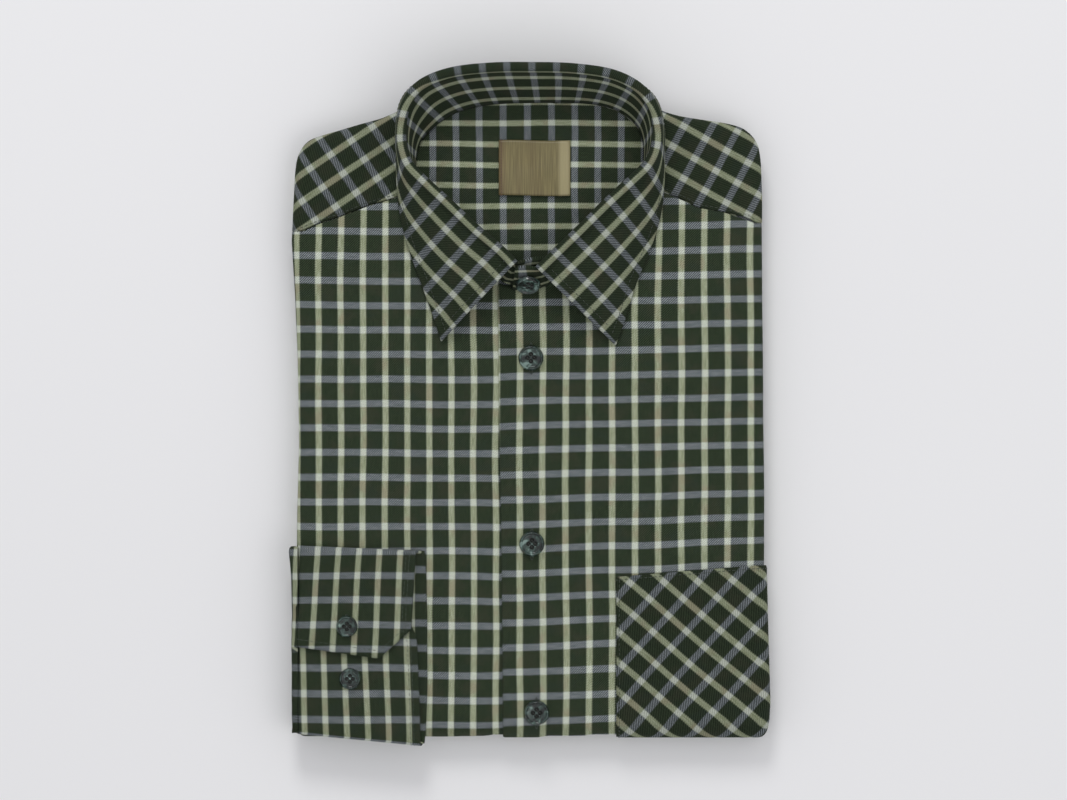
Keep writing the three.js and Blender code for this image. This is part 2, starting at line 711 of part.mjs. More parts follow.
// Four-hole button with a raised rim and a dished face
function button(diameter, thickness) {
  const radius = diameter / 2;
  const profile = [
    [0, 0],
    [radius * 0.8, 0],
    [radius, thickness * 0.45],
    [radius * 0.97, thickness * 0.85],
    [radius * 0.86, thickness],
    [radius * 0.7, thickness * 0.75],
    [0, thickness * 0.6],
  ].map(([r, z]) => new THREE.Vector2(r, z));
  const disc = new THREE.LatheGeometry(profile, 18).rotateX(Math.PI / 2);
  const holes = [0, 1, 2, 3].map((i) => {
    const angle = (i * Math.PI) / 2;
    const hole = new THREE.CylinderGeometry(diameter * 0.075, diameter * 0.075, thickness * 4, 8);
    hole.rotateX(Math.PI / 2);
    hole.translate(Math.cos(angle) * diameter * 0.13, Math.sin(angle) * diameter * 0.13, 0);
    return hole;
  });
  return cut(disc, holes);
}

function toManifold(geometry) {
  const bare = geometry.clone();
  bare.deleteAttribute('normal');
  bare.deleteAttribute('uv');
  const merged = mergeVertices(bare, 1e-4);
  const index = Array.from(merged.getIndex().array);
  const position = merged.getAttribute('position').array;
  const triangles = [];
  for (let i = 0; i < index.length; i += 3) {
    const [a, b, c] = [index[i], index[i + 1], index[i + 2]];
    if (a !== b && b !== c && c !== a) triangles.push(a, b, c);
  }
  const plain = new THREE.BufferGeometry();
  plain.setAttribute('position', new THREE.BufferAttribute(position, 3));
  plain.setIndex(triangles);
  if (signedVolume(plain) < 0) triangles.reverse();
  const mesh = { numProp: 3, vertProperties: new Float32Array(position), triVerts: new Uint32Array(triangles) };
  return new wasm.Manifold(new wasm.Mesh(mesh));
}

function cut(body, tools) {
  let result = toManifold(body);
  tools.forEach((tool) => {
    result = result.subtract(toManifold(tool));
  });
  const mesh = result.getMesh();
  const geometry = new THREE.BufferGeometry();
  geometry.setAttribute('position', new THREE.BufferAttribute(new Float32Array(mesh.vertProperties), 3));
  geometry.setIndex(Array.from(mesh.triVerts));
  geometry.computeVertexNormals();
  return geometry;
}

// Assembly
const shirt = new THREE.Group();

function add(name, geometry, color, roughness = 0.95) {
  const material = new THREE.MeshStandardMaterial({ color, roughness, metalness: 0, side: THREE.DoubleSide });
  const mesh = new THREE.Mesh(geometry, material);
  mesh.name = name;
  shirt.add(mesh);
  return mesh;
}

add('folded_layers', cut(foldedLayers(), [neckRecess]), GREEN);
add('front_left', frontLeft, GREEN);
add('front_right', frontRight, GREEN);
add('yoke', yoke(), GREEN);
add('inner_yoke', innerYoke, GREEN);
add('label', label, TAN, 0.6);
add('collar_stand', collarStand(), GREEN);
add('collar_leaf', collarLeaf(), GREEN);
add('pocket', pocket(), GREEN);
add('cuff_right', cuff(), GREEN);
add('sleeve_right', sleeve(), GREEN);

const FRONT_FACE = STACK_HEIGHT + STEP_OUT + GAP;
const buttons = table(['name', 'x', 'y', 'z', 'tilt', 'diameter'], [
  ['button_neck', -0.8, 65.0, 26.5, 0.9, BUTTON_DIAMETER],
  ['button_front_1', 0.8, 25.1, FRONT_FACE, 0, BUTTON_DIAMETER],
  ['button_front_2', 1.3, -74.8, FRONT_FACE, 0, BUTTON_DIAMETER],
  ['button_front_3', 3.8, -165.5, FRONT_FACE + 0.1, 0.09, BUTTON_DIAMETER],
  ['button_cuff_1', -98.0, -119.1, 24.6, 0, CUFF_BUTTON_DIAMETER],
  ['button_cuff_2', -96.4, -147.2, 22.8, 0, CUFF_BUTTON_DIAMETER],
]);
buttons.forEach((place) => {
  const mesh = add(place.name, button(place.diameter, place.diameter * 0.2), BUTTON_GREEN, 0.35);
  mesh.position.set(place.x, place.y, place.z);
  mesh.rotation.x = place.tilt;
});

export default shirt;
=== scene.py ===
import math

import bpy
from mathutils import Matrix, Vector, noise


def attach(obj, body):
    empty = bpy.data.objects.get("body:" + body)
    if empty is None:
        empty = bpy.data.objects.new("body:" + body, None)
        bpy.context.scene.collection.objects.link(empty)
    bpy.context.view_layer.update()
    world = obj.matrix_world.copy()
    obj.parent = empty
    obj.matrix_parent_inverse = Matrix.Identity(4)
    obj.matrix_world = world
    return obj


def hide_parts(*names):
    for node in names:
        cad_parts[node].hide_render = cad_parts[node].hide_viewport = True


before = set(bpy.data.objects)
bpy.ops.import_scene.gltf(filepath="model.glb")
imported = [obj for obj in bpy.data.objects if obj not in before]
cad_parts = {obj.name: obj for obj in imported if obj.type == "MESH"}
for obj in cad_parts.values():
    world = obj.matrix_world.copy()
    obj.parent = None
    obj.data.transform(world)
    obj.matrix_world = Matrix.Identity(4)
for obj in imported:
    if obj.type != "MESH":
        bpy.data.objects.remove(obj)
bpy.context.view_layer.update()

# Lengths are in millimetres until a mesh is made, and then in metres
MM = 0.001

# Cloth and stack sizes, as in the solids
CLOTH = 1.2
COLLAR_CLOTH = 1.5
CUFF_CLOTH = 1.4
GAP = 0.3
STEP_OUT = CLOTH + GAP
STACK_HEIGHT = 18.0
HALF = STACK_HEIGHT / 2
FOLD_REACH = 9.3
FOLD_Y = -169.3
# The bottom fold's half turn, along the middle of its two reaches
FOLD_RUN = math.pi * (HALF + FOLD_REACH) / 2
ROLL = 4.2
ROLL_HALF = 4.4
LIP = 4.0
TAIL_END_Y = 125.0
# A run along the cloth for each radian of a side roll
ROLL_RUN = 4.3
# Creases lie on the face only, which is above this height
FACE_Z = 12
CREASE_GAIN = 1.7

# The woven check: pale yarn stripes one way, blue-grey ones the other
PALE_PITCH = 12.2
PALE_WIDTH = 3.3
BLUE_PITCH = 13.25
BLUE_WIDTH = 3.9
# A flannel twill has ribs about 0.7 mm apart: they are drawn wider, so that they show from a step away
TWILL_PITCH = 1.3

# Painted shade: on these pieces the same flannel's colour is darkened to this share of the fronts' brightness
painted_shade_share = {
    "right_cuff": 0.86, "right_sleeve": 0.8, "pocket": 0.7,
    "collar_leaf": 0.72, "collar_stand": 0.72, "yoke": 0.72,
}


def table(columns, rows):
    names = columns.split()
    return [dict(zip(names, row)) for row in rows]


def smooth(amount):
    t = min(1.0, max(0.0, amount))
    return t * t * (3 - 2 * t)


def mix(a, b, share):
    return a + (b - a) * share


def look_up(rows, key, at, column):
    """Value of a column in a table sorted by falling key, read between its rows."""
    if at >= rows[0][key]:
        return rows[0][column]
    for high, low in zip(rows, rows[1:]):
        if at >= low[key]:
            return mix(high[column], low[column], (high[key] - at) / (high[key] - low[key]))
    return rows[-1][column]


def through(points, steps):
    """A smooth line through all the points, with some steps between each two."""
    line = []
    for i in range(len(points) - 1):
        a = points[max(0, i - 1)]
        b, c = points[i], points[i + 1]
        d = points[min(len(points) - 1, i + 2)]
        for k in range(steps):
            t = k / steps
            square, cube = 2 * a - 5 * b + 4 * c - d, 3 * b - a - 3 * c + d
            line.append(0.5 * ((2 * b) + (c - a) * t + square * t * t + cube * t ** 3))
    line.append(points[-1].copy())
    return line


def offset(grid, distance):
    """Moves each point of a grid along the grid's normal."""
    rows, columns = len(grid), len(grid[0])
    moved = []
    for i, row in enumerate(grid):
        line = []
        for j, point in enumerate(row):
            down = grid[min(rows - 1, i + 1)][j] - grid[max(0, i - 1)][j]
            along = row[min(columns - 1, j + 1)] - row[max(0, j - 1)]
            line.append(point + down.cross(along).normalized() * distance)
        moved.append(line)
    return moved


# Soft creases on the face: from, to, half width and height, a trough where it is below zero
creases = table("x0 y0 x1 y1 width height", [
    (-118, 78, -58, 58, 8, 0.55),
    (-112, 52, -76, 40, 5, -0.40),
    (-104, 22, -38, 12, 9, -0.40),
    (-66, -18, -26, -58, 7, 0.40),
    (-112, -40, -70, -52, 8, 0.40),
    (-52, -78, -50, -166, 5, -0.55),
    (-44, 70, -30, 30, 6, 0.35),
    (-26, 10, -24, -60, 4, -0.30),
    (66, 52, 112, 66, 8, 0.50),
    (74, 108, 70, 62, 5, -0.55),
    (60, 34, 108, 16, 7, -0.40),
    (96, 40, 102, -46, 9, 0.50),
    (28, -6, 66, -30, 8, 0.35),
    (48, -82, 118, -77, 6, 0.45),
    (52, -52, 92, -64, 6, -0.35),
    (12, -72, 34, -64, 3, -0.35),
    (12, -78, 30, -88, 3, -0.30),
    (12, 27, 36, 34, 3, -0.35),
    (12, 22, 32, 12, 3, -0.30),
    (16, -160, 40, -150, 4, -0.35),
    (84, 128, 118, 118, 6, 0.50),
    (76, 138, 92, 126, 4, -0.60),
    (-80, 134, -92, 120, 4, -0.60),
    (-92, 124, -120, 112, 7, 0.50),
    (-78, 146, -100, 138, 5, 0.40),
    (80, 148, 104, 142, 5, 0.35),
])


def crease_height(x, y):
    total = 0.0
    for fold in creases:
        ax, ay = fold["x1"] - fold["x0"], fold["y1"] - fold["y0"]
        length_squared = ax * ax + ay * ay
        share = ((x - fold["x0"]) * ax + (y - fold["y0"]) * ay) / length_squared
        if not -0.2 < share < 1.2:
            continue
        away = abs((x - fold["x0"]) * ay - (y - fold["y0"]) * ax) / math.sqrt(length_squared)
        if away > 3 * fold["width"]:
            continue
        ends = smooth((share + 0.2) / 0.35) * smooth((1.2 - share) / 0.35)
        total += CREASE_GAIN * fold["height"] * ends * math.exp(-((away / fold["width"]) ** 2))
    return total


def undulation(point, scale, seed):
    return noise.noise(Vector((point.x / scale + seed, point.y / scale, point.z / scale)))


def drape(grid, amount, seed=0.0, mask=None):
    """Soft unevenness of brushed cotton, pushed out or in along the cloth's normal."""
    lifted = offset(grid, 1.0)
    for row, up in zip(grid, lifted):
        for j, point in enumerate(row):
            height = 0.5 * undulation(point, 36, seed) + 0.2 * undulation(point, 14, seed + 7)
            if point.z > FACE_Z:
                height += crease_height(point.x, point.y)
            if mask:
                height *= mask(point)
            row[j] = point + (up[j] - point) * height * amount
    return grid


def wander(u, v, seed):
    """Woven stripes never lie quite straight: a slow drift of the pattern, in millimetres."""
    place = Vector((u / 46 + seed, v / 46, seed))
    return (u + 0.75 * noise.noise(place), v + 0.95 * noise.noise(place + Vector((31, 17, 5))))


def make_mesh(name, points, faces, uvs, material):
    mesh = bpy.data.meshes.new(name)
    mesh.from_pydata([p * MM for p in points], [], faces)
    if uvs:
        layer = mesh.uv_layers.new(name="Cloth")
        flat = [0.0] * (2 * len(mesh.loops))
        for i, loop in enumerate(mesh.loops):
            flat[2 * i], flat[2 * i + 1] = uvs[loop.vertex_index]
        layer.data.foreach_set("uv", flat)
    mesh.materials.append(material)
    mesh.polygons.foreach_set("use_smooth", [True] * len(mesh.polygons))
    mesh.update()
    piece = bpy.data.objects.new(name, mesh)
    bpy.context.scene.collection.objects.link(piece)
    return piece


def signed_volume(points, faces):
    total = 0.0
    for face in faces:
        a = points[face[0]]
        for k in range(1, len(face) - 1):
            total += a.dot(points[face[k]].cross(points[face[k + 1]]))
    return total


def outward(points, faces):
    return faces if signed_volume(points, faces) >= 0 else [tuple(reversed(face)) for face in faces]


def cloth_piece(name, outer, inner, uv, material):
    """A closed thin wall between two grids, with its pattern place in cloth millimetres."""
    rows, columns = len(outer), len(outer[0])
    points = [p for row in outer for p in row] + [p for row in inner for p in row]
    uvs = [pair for row in uv for pair in row] * 2
    shift = rows * columns
    faces = []
    for i in range(rows - 1):
        for j in range(columns - 1):
            a, b = i * columns + j, i * columns + j + 1
            c, d = b + columns, a + columns
            faces.append((a, d, c, b))
            faces.append((a + shift, b + shift, c + shift, d + shift))
    rim = [(0, j) for j in range(columns - 1)] + [(i, columns - 1) for i in range(rows - 1)]
    rim += [(rows - 1, j) for j in range(columns - 1, 0, -1)] + [(i, 0) for i in range(rows - 1, 0, -1)]
    order = [i * columns + j for i, j in rim]
    for a, b in zip(order, order[1:] + order[:1]):
        faces.append((a, b, b + shift, a + shift))
    piece = make_mesh(name, points, outward(points, faces), uvs, material)
    # Painted shade: each piece's darkening share, stored on its points for the flannel's colour
    nap_and_painted_shade = piece.data.attributes.new("PaintedShade", "FLOAT", "POINT")
    nap_and_painted_shade.data.foreach_set("value", [painted_shade_share.get(name, 1.0)] * len(points))
    return piece


def distances(line):
    total, run = 0.0, [0.0]
    for a, b in zip(line, line[1:]):
        total += (b - a).length
        run.append(total)
    return run


def linear(channel):
    """One channel of an sRGB colour as linear light."""
    return channel / 12.92 if channel <= 0.04045 else ((channel + 0.055) / 1.055) ** 2.4


def colour(text):
    parts = [int(text[i:i + 2], 16) / 255 for i in (1, 3, 5)]
    return (*[linear(part) for part in parts], 1.0)


def feed(tree, socket, value):
    if isinstance(value, bpy.types.NodeSocket):
        tree.links.new(value, socket)
    else:
        socket.default_value = value


def add_node(tree, kind, settings=None, **inputs):
    """A node with its settings and inputs; i0 and i1 are inputs by number, the others go by name."""
    made = tree.nodes.new(kind)
    for key, value in (settings or {}).items():
        setattr(made, key, value)
    for key, value in inputs.items():
        feed(tree, made.inputs[int(key[1:]) if key[1:].isdigit() else key.replace("_", " ")], value)
    return made


class Surface:
    """A material's nodes, added one at a time."""

    def __init__(self, name, roughness, **sockets):
        self.material = bpy.data.materials.new(name)
        self.material.use_nodes = True
        self.tree = self.material.node_tree
        self.shader = self.tree.nodes["Principled BSDF"]
        self.shader.inputs["Roughness"].default_value = roughness
        for socket, value in sockets.items():
            self.shader.inputs[socket.replace("_", " ")].default_value = value

    def node(self, kind, settings=None, **inputs):
        return add_node(self.tree, kind, settings, **inputs)

    def feed(self, socket, value):
        feed(self.tree, socket, value)

    def math(self, operation, a, b=0.0, c=0.0):
        return self.node("ShaderNodeMath", {"operation": operation}, i0=a, i1=b, i2=c).outputs[0]

    def blend(self, share, a, b):
        made = self.node("ShaderNodeMix", {"data_type": "RGBA"})
        self.feed(made.inputs[0], share)
        self.feed(made.inputs[6], a)
        self.feed(made.inputs[7], b)
        return made.outputs[2]

    def step(self, value, low, high):
        made = self.node("ShaderNodeMapRange", {"interpolation_type": "SMOOTHSTEP"}, Value=value)
        made.inputs["From Min"].default_value = low
        made.inputs["From Max"].default_value = high
        return made.outputs["Result"]

    def tint(self, tone, value, low, high, share, text):
        """Turns a tone towards a colour where a value passes from low to high."""
        return self.blend(self.math("MULTIPLY", self.step(value, low, high), share), tone, colour(text))

    def place(self):
        return self.node("ShaderNodeTexCoord").outputs["Object"]

    def cloth_place(self):
        return self.node("ShaderNodeUVMap", {"uv_map": "Cloth"}).outputs[0]

    def speckle(self, vector, scale, detail=2.0):
        return self.node("ShaderNodeTexNoise", None, Vector=vector, Scale=scale, Detail=detail).outputs["Fac"]

    def stretched(self, vector, x, y):
        return self.node("ShaderNodeMapping", None, Vector=vector, Scale=(x, y, 1.0)).outputs[0]

    def bump(self, height, strength, distance, normal=None):
        made = self.node("ShaderNodeBump", None, Height=height, Strength=strength, Distance=distance)
        if normal:
            self.feed(made.inputs["Normal"], normal)
        return made.outputs[0]


def stripe(s, place, pitch, width, ragged):
    """1 on the yarns of a stripe and 0 between, with the soft edge of a raised nap."""
    turn = s.math("FRACT", s.math("ADD", s.math("DIVIDE", place, pitch), 0.5))
    away = s.math("MULTIPLY", s.math("ABSOLUTE", s.math("SUBTRACT", turn, 0.5)), pitch)
    away = s.math("ADD", away, s.math("MULTIPLY", s.math("SUBTRACT", ragged, 0.5), 0.9))
    return s.math("SUBTRACT", 1.0, s.step(away, width / 2 - 0.35, width / 2 + 0.35))


def check_flannel():
    # Yarn-dyed cotton twill, brushed on the face: it gives the eye a dark melange ground, pale stripes
    # with a fuzzy edge, and a fine slanting rib that shows most where blue-grey yarns cross
    s = Surface("cotton flannel, yarn-dyed check, brushed", 0.92, Sheen_Weight=0.05, Sheen_Roughness=0.5)
    s.shader.inputs["Sheen Tint"].default_value = colour("#c9d2c2")
    s.shader.inputs["Specular IOR Level"].default_value = 0.06
    cloth = s.cloth_place()
    parts = s.node("ShaderNodeSeparateXYZ", None, Vector=cloth)
    u, v = parts.outputs[0], parts.outputs[1]
    rough = s.speckle(cloth, 1.3)
    diagonal = s.math("MULTIPLY", s.math("SUBTRACT", u, v), 2 * math.pi / TWILL_PITCH)
    diagonal = s.math("ADD", diagonal, s.math("MULTIPLY", rough, 1.6))
    rib = s.math("MULTIPLY_ADD", s.math("SINE", diagonal), 0.5, 0.5)
    ragged = s.math("MULTIPLY_ADD", rib, 0.55, s.math("MULTIPLY", rough, 0.45))
    pale = stripe(s, u, PALE_PITCH, PALE_WIDTH, ragged)
    blue = stripe(s, v, BLUE_PITCH, BLUE_WIDTH, ragged)
    slub_one = s.speckle(s.stretched(cloth, 2.2, 0.16), 1.0, 3.0)
    slub_two = s.speckle(s.stretched(cloth, 0.16, 2.2), 1.0, 3.0)
    fuzz = s.speckle(cloth, 1.9, 4.0)
    cloudy = s.speckle(cloth, 0.075, 2.0)
    cool = s.speckle(s.stretched(cloth, 0.05, 0.09), 1.0, 2.0)

    ground = s.blend(s.step(slub_one, 0.35, 0.68), colour("#1c2719"), colour("#2c3926"))
    ground = s.tint(ground, slub_two, 0.45, 0.7, 0.35, "#37352a")
    ground = s.tint(ground, cloudy, 0.48, 0.66, 0.5, "#3b382d")
    ground = s.tint(ground, cool, 0.5, 0.68, 0.5, "#222e29")
    dark_side = s.blend(0.6, ground, colour("#0b0f0b"))
    bright_side = s.blend(0.2, ground, colour("#78896c"))
    ground = s.blend(s.math("MULTIPLY_ADD", rib, 0.8, 0.1), dark_side, bright_side)
    pale_yarn = s.blend(s.step(slub_one, 0.3, 0.7), colour("#99a27f"), colour("#bac1a4"))
    pale_yarn = s.tint(pale_yarn, cloudy, 0.5, 0.66, 0.6, "#aaa186")
    pale_shown = s.blend(s.math("MULTIPLY_ADD", rib, 0.36, 0.64), dark_side, pale_yarn)
    blue_yarn = s.blend(s.step(slub_two, 0.3, 0.7), colour("#8d969a"), colour("#b3babf"))
    blue_shown = s.blend(s.math("MULTIPLY_ADD", rib, 0.86, 0.0), dark_side, blue_yarn)
    crossing = s.blend(rib, colour("#b7bfae"), colour("#e6ebe0"))
    shown = s.blend(pale, ground, pale_shown)
    shown = s.blend(s.math("MULTIPLY", blue, s.math("SUBTRACT", 1.0, pale)), shown, blue_shown)
    shown = s.blend(s.math("MULTIPLY", s.math("MULTIPLY", blue, pale), 0.9), shown, crossing)
    fuzz_and_painted_shade = s.math("MULTIPLY_ADD", s.step(fuzz, 0.3, 0.72), 0.34, 0.8)
    # Painted shade: the random fuzz brightness is multiplied by each piece's darkening share, read from its
    # points
    painted_shade = s.node("ShaderNodeAttribute", {"attribute_name": "PaintedShade"}).outputs["Fac"]
    fuzz_and_painted_shade = s.math("MULTIPLY", fuzz_and_painted_shade, painted_shade)
    graded = s.node("ShaderNodeHueSaturation", None, Value=fuzz_and_painted_shade, Color=shown)
    s.feed(s.shader.inputs["Base Color"], graded.outputs[0])
    weave = s.math("ADD", s.math("MULTIPLY", rib, 0.5), s.math("MULTIPLY", fuzz, 0.9))
    nap_and_painted_shade = s.bump(weave, 0.55, 0.00022)
    s.feed(s.shader.inputs["Normal"], s.bump(cloudy, 0.25, 0.0012, nap_and_painted_shade))
    return s.material


def label_satin():
    # Woven polyester satin: fine ribs along its length, and a silky streak of light painted into its colour
    s = Surface("polyester satin, woven, tan", 0.36, Sheen_Weight=0.15, Anisotropic=0.45)
    cloth = s.cloth_place()
    streak = s.speckle(s.stretched(cloth, 2.6, 0.05), 1.0, 3.0)
    broad = s.speckle(s.stretched(cloth, 0.10, 0.01), 1.0, 1.0)
    tone = s.blend(s.step(streak, 0.3, 0.72), colour("#6a613e"), colour("#8e8358"))
    tone = s.tint(tone, broad, 0.4, 0.65, 0.5, "#6e6040")
    across = s.node("ShaderNodeSeparateXYZ", None, Vector=cloth).outputs[0]
    # Painted highlight along the label's right fold
    tone = s.tint(tone, across, 14.5, 17.5, 0.65, "#b8ae84")
    # Darker and browner towards the left edge
    tone = s.tint(tone, across, -10.5, -16.5, 0.5, "#6a5238")
    s.feed(s.shader.inputs["Base Color"], tone)
    s.feed(s.shader.inputs["Normal"], s.bump(streak, 0.35, 0.00012))
    return s.material


def button_resin():
    # Cast polyester resin, tumbled to a gloss: grey-green swirls in a dark green body
    s = Surface("polyester resin, cast and tumbled, dark green", 0.24, Coat_Weight=0.35, Coat_Roughness=0.12)
    place = s.place()
    warp = s.node("ShaderNodeTexNoise", None, Vector=place, Scale=120.0, Detail=3.0)
    bent = s.node("ShaderNodeVectorMath", {"operation": "MULTIPLY_ADD"})
    s.feed(bent.inputs[0], warp.outputs["Color"])
    bent.inputs[1].default_value = (0.012, 0.012, 0.012)
    s.feed(bent.inputs[2], place)
    swirl = s.speckle(bent.outputs[0], 260.0, 4.0)
    tone = s.blend(s.step(swirl, 0.38, 0.6), colour("#141c19"), colour("#3a4d46"))
    tone = s.tint(tone, swirl, 0.56, 0.68, 0.7, "#8ba39b")
    s.feed(s.shader.inputs["Base Color"], tone)
    s.feed(s.shader.inputs["Normal"], s.bump(swirl, 0.05, 0.0002))
    return s.material


def sewing_thread(name, tone):
    # Spun polyester thread: a matt twist that catches a thin line of light
    s = Surface(name, 0.6, Sheen_Weight=0.3)
    place = s.place()
    twist = s.speckle(place, 2600.0, 2.0)
    s.feed(s.shader.inputs["Base Color"], s.blend(twist, colour(tone), colour("#171c15")))
    s.feed(s.shader.inputs["Normal"], s.bump(twist, 0.4, 0.0001))
    return s.material


def studio_floor():
    # Matt paper sweep: even and pale, so that only soft contact shade shows
    s = Surface("paper, matt, pale grey", 0.9, Specular_IOR_Level=0.1)
    place = s.place()
    tone = s.blend(s.speckle(place, 3.0), colour("#f4f4f4"), colour("#f6f6f6"))
    s.feed(s.shader.inputs["Base Color"], tone)
    return s.material


flannel = check_flannel()
satin = label_satin()
resin = button_resin()
green_thread = sewing_thread("polyester thread, spun, dark green", "#3c4a38")
dark_thread = sewing_thread("polyester thread, spun, near black", "#20271f")
brown_thread = sewing_thread("polyester thread, spun, rust brown", "#7a4a34")


# The folded stack
sides = table("y left right", [
    (128, -125.0, 123.5),
    (110, -126.9, 125.0),
    (88, -128.0, 125.0),
    (60, -126.3, 125.2),
    (24, -124.6, 125.6),
    (-20, -124.0, 126.0),
    (-60, -125.0, 126.4),
    (-85, -125.2, 126.2),
    (-120, -125.2, 127.0),
    (-160, -125.2, 128.2),
    (-180, -125.0, 127.0),
])
right_front_top = table("x y", [
    (6, 61.0), (0, 61.0), (-14, 65.5), (-28, 75.5), (-42, 89.5), (-52, 103.5),
    (-59, 117.0), (-71.6, 111.0), (-86.7, 106.7), (-101.8, 100.7), (-113.4, 96.9), (-121, 93.0),
])
left_front_top = table("x y", [
    (121, 97.5), (104.5, 103.4), (90.5, 105.8), (85, 108.8), (73.7, 113.7), (60, 118.5),
    (53, 105.5), (43, 90.5), (29, 76.0), (14, 65.5), (0, 61.0), (-17, 66.0),
])


def on_stack(x, run, depth):
    """Place on the stack: across, along the fold path, and below its outer face."""
    if run <= 0:
        return Vector((x, FOLD_Y - run, STACK_HEIGHT - depth))
    if run >= FOLD_RUN:
        return Vector((x, FOLD_Y + run - FOLD_RUN, depth))
    angle = math.pi * run / FOLD_RUN
    y = FOLD_Y - (FOLD_REACH - depth) * math.sin(angle)
    return Vector((x, y, HALF + (HALF - depth) * math.cos(angle)))


def side_edge(side, run):
    return look_up(sides, "y", on_stack(0, run, 0).y, "left" if side < 0 else "right")


def across_panel(column, side, inner_x, run, inset):
    share, angle, lip = column
    roll_start = side_edge(side, run) - side * ROLL
    if angle == 0:
        return mix(inner_x, roll_start, share), inset
    x = roll_start + side * ((ROLL - inset) * math.sin(angle) - lip)
    return x, ROLL_HALF - (ROLL_HALF - inset) * math.cos(angle)


FRONT_SIDE_X = 121
POCKET_LEFT = 46.7
POCKET_TOP_RUN = FOLD_Y + 92.6
POCKET_END_RUN = FOLD_RUN + 38


def under_share(run):
    return smooth(run / FOLD_RUN)


def left_front_inset(x, run):
    overlap = 1 - smooth((x - 5) / 5)
    pocket_here = smooth((x - POCKET_LEFT + 18) / 6) * (1 - smooth((run - POCKET_END_RUN - 2) / 8))
    return STEP_OUT * pocket_here * under_share(run) - STEP_OUT * overlap * (1 - under_share(run))


def right_front_inset(x, run):
    return STEP_OUT * smooth((x + 24) / 5) * under_share(run)


def overlap_edge(run):
    return -16.7 + 2.4 * smooth((run + 230) / 230)


def spread(count):
    return [i / count for i in range(count + 1)]


def calm_by_buttons(point):
    """Less unevenness near the side edges and lower on the stack, and none below."""
    if point.z < 4:
        return 0.0
    side_calm = 1 - smooth((abs(point.x) - 118) / 6) * 0.6
    return side_calm * (0.25 + 0.75 * smooth((point.z - 4) / 8))


def front_panel(name, side, top_table, inner_x, inset_at, pattern):
    edge_shares = [0.0, 0.003, 0.008, 0.016]
    columns = [(share, 0, 0) for share in edge_shares + [mix(0.03, 1, i / 46) for i in range(47)]]
    columns += [(1, math.pi * i / 12, 0) for i in range(1, 13)]
    columns += [(1, math.pi, LIP)]
    fold_runs = [FOLD_RUN * i / 18 for i in range(1, 19)]
    tail_runs = [FOLD_RUN + (TAIL_END_Y - FOLD_Y) * share for share in spread(40)[1:]]
    outer, uv = [], []
    for column in columns:
        guess = across_panel(column, side, inner_x(0), FOLD_Y - 100, 0)[0]
        top_x = side * FRONT_SIDE_X if column[1] > 0 else max(-FRONT_SIDE_X, min(FRONT_SIDE_X, guess))
        top_run = FOLD_Y - look_up(top_table, "x", top_x, "y")
        line, places = [], []
        for run in [top_run * (1 - share) for share in spread(112)] + fold_runs + tail_runs:
            x_flat = across_panel(column, side, inner_x(run), run, 0)[0]
            inset = inset_at(x_flat, run)
            from_edge = abs(x_flat - inner_x(run)) if column[1] == 0 else 99
            inset += 0.5 * max(0.0, 1 - from_edge / 1.3) ** 2
            x, depth = across_panel(column, side, inner_x(run), run, inset)
            line.append(on_stack(x, run, depth))
            rolled_x = side_edge(side, run) - side * (ROLL - ROLL_RUN * column[1])
            cloth_x = x_flat if column[1] == 0 else rolled_x
            places.append(pattern(cloth_x, -run + FOLD_Y))
        outer.append(line)
        uv.append(places)
    drape(outer, -side, 3.0 * side, calm_by_buttons)
    inner = offset(outer, side * CLOTH)
    return cloth_piece(name, outer, inner, uv, flannel), outer


def left_pattern(x, y):
    rise = 0.018 + 0.022 * smooth(-y / 100)
    return wander((x + 5.3) * PALE_PITCH / 12.42, y - 41.3 - rise * (x + 17), 2.0)


def right_pattern(x, y):
    return wander((x + 18.1) * PALE_PITCH / 11.9, y - 39.7 + 0.006 * x, 5.0)


def right_edge(run):
    return 2.5


front_left, left_grid = front_panel(
    "left_front", 1, left_front_top, overlap_edge, left_front_inset, left_pattern
)
front_right = front_panel(
    "right_front", -1, right_front_top, right_edge, right_front_inset, right_pattern
)[0]
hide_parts("front_left")
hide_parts("front_right")


# Hidden layers: one body bent round the bottom fold, stepped like cloth edges at the tail
shoulder_line = table("x y", [
    (126, 119), (114, 136), (97, 145), (75, 149.5), (55, 155), (0, 157.5),
    (-50, 155), (-75, 149.5), (-97, 142), (-114, 134), (-126, 117),
])
core_end = table("pull share", [
    (0, 0.07), (0, 0.3), (2.5, 0.32), (2.5, 0.4), (0.8, 0.42),
    (0.8, 0.66), (3, 0.68), (3, 0.76), (0.4, 0.78), (0.4, 1),
])
neck = table("y left right", [
    (163.0, -14, 34), (160.5, -29, 45), (156.5, -41, 53), (150.5, -50, 58.5), (141.0, -59, 61.5),
    (131.0, -62, 62), (118.0, -60.5, 61.5), (104.0, -54, 55), (90.0, -44.5, 45.5), (76.0, -31, 32),
    (68.0, -20, 20),
])
LINING_TOP = 16.5
CORE_LIP_DEPTH = 7.1
CORE_MIDDLE_DEPTH = 8.0
CORE_SIDE_GAP = 0.8
CORE_TUCK = 4.2
CORE_ROLL_STEPS = 8
CORE_ROLL_TUCK = 3.5


def in_neck(x, y):
    if not 67.4 < y < 163.6:
        return False
    return look_up(neck, "y", y, "left") - 0.9 < x < look_up(neck, "y", y, "right") + 0.9


def core_inset(x, run):
    if x < -26:
        return right_front_inset(x, run) + STEP_OUT
    if x > 14:
        return left_front_inset(x, run) + STEP_OUT
    return max(2 * STEP_OUT * under_share(run) + STEP_OUT * (1 - under_share(run)), STEP_OUT)


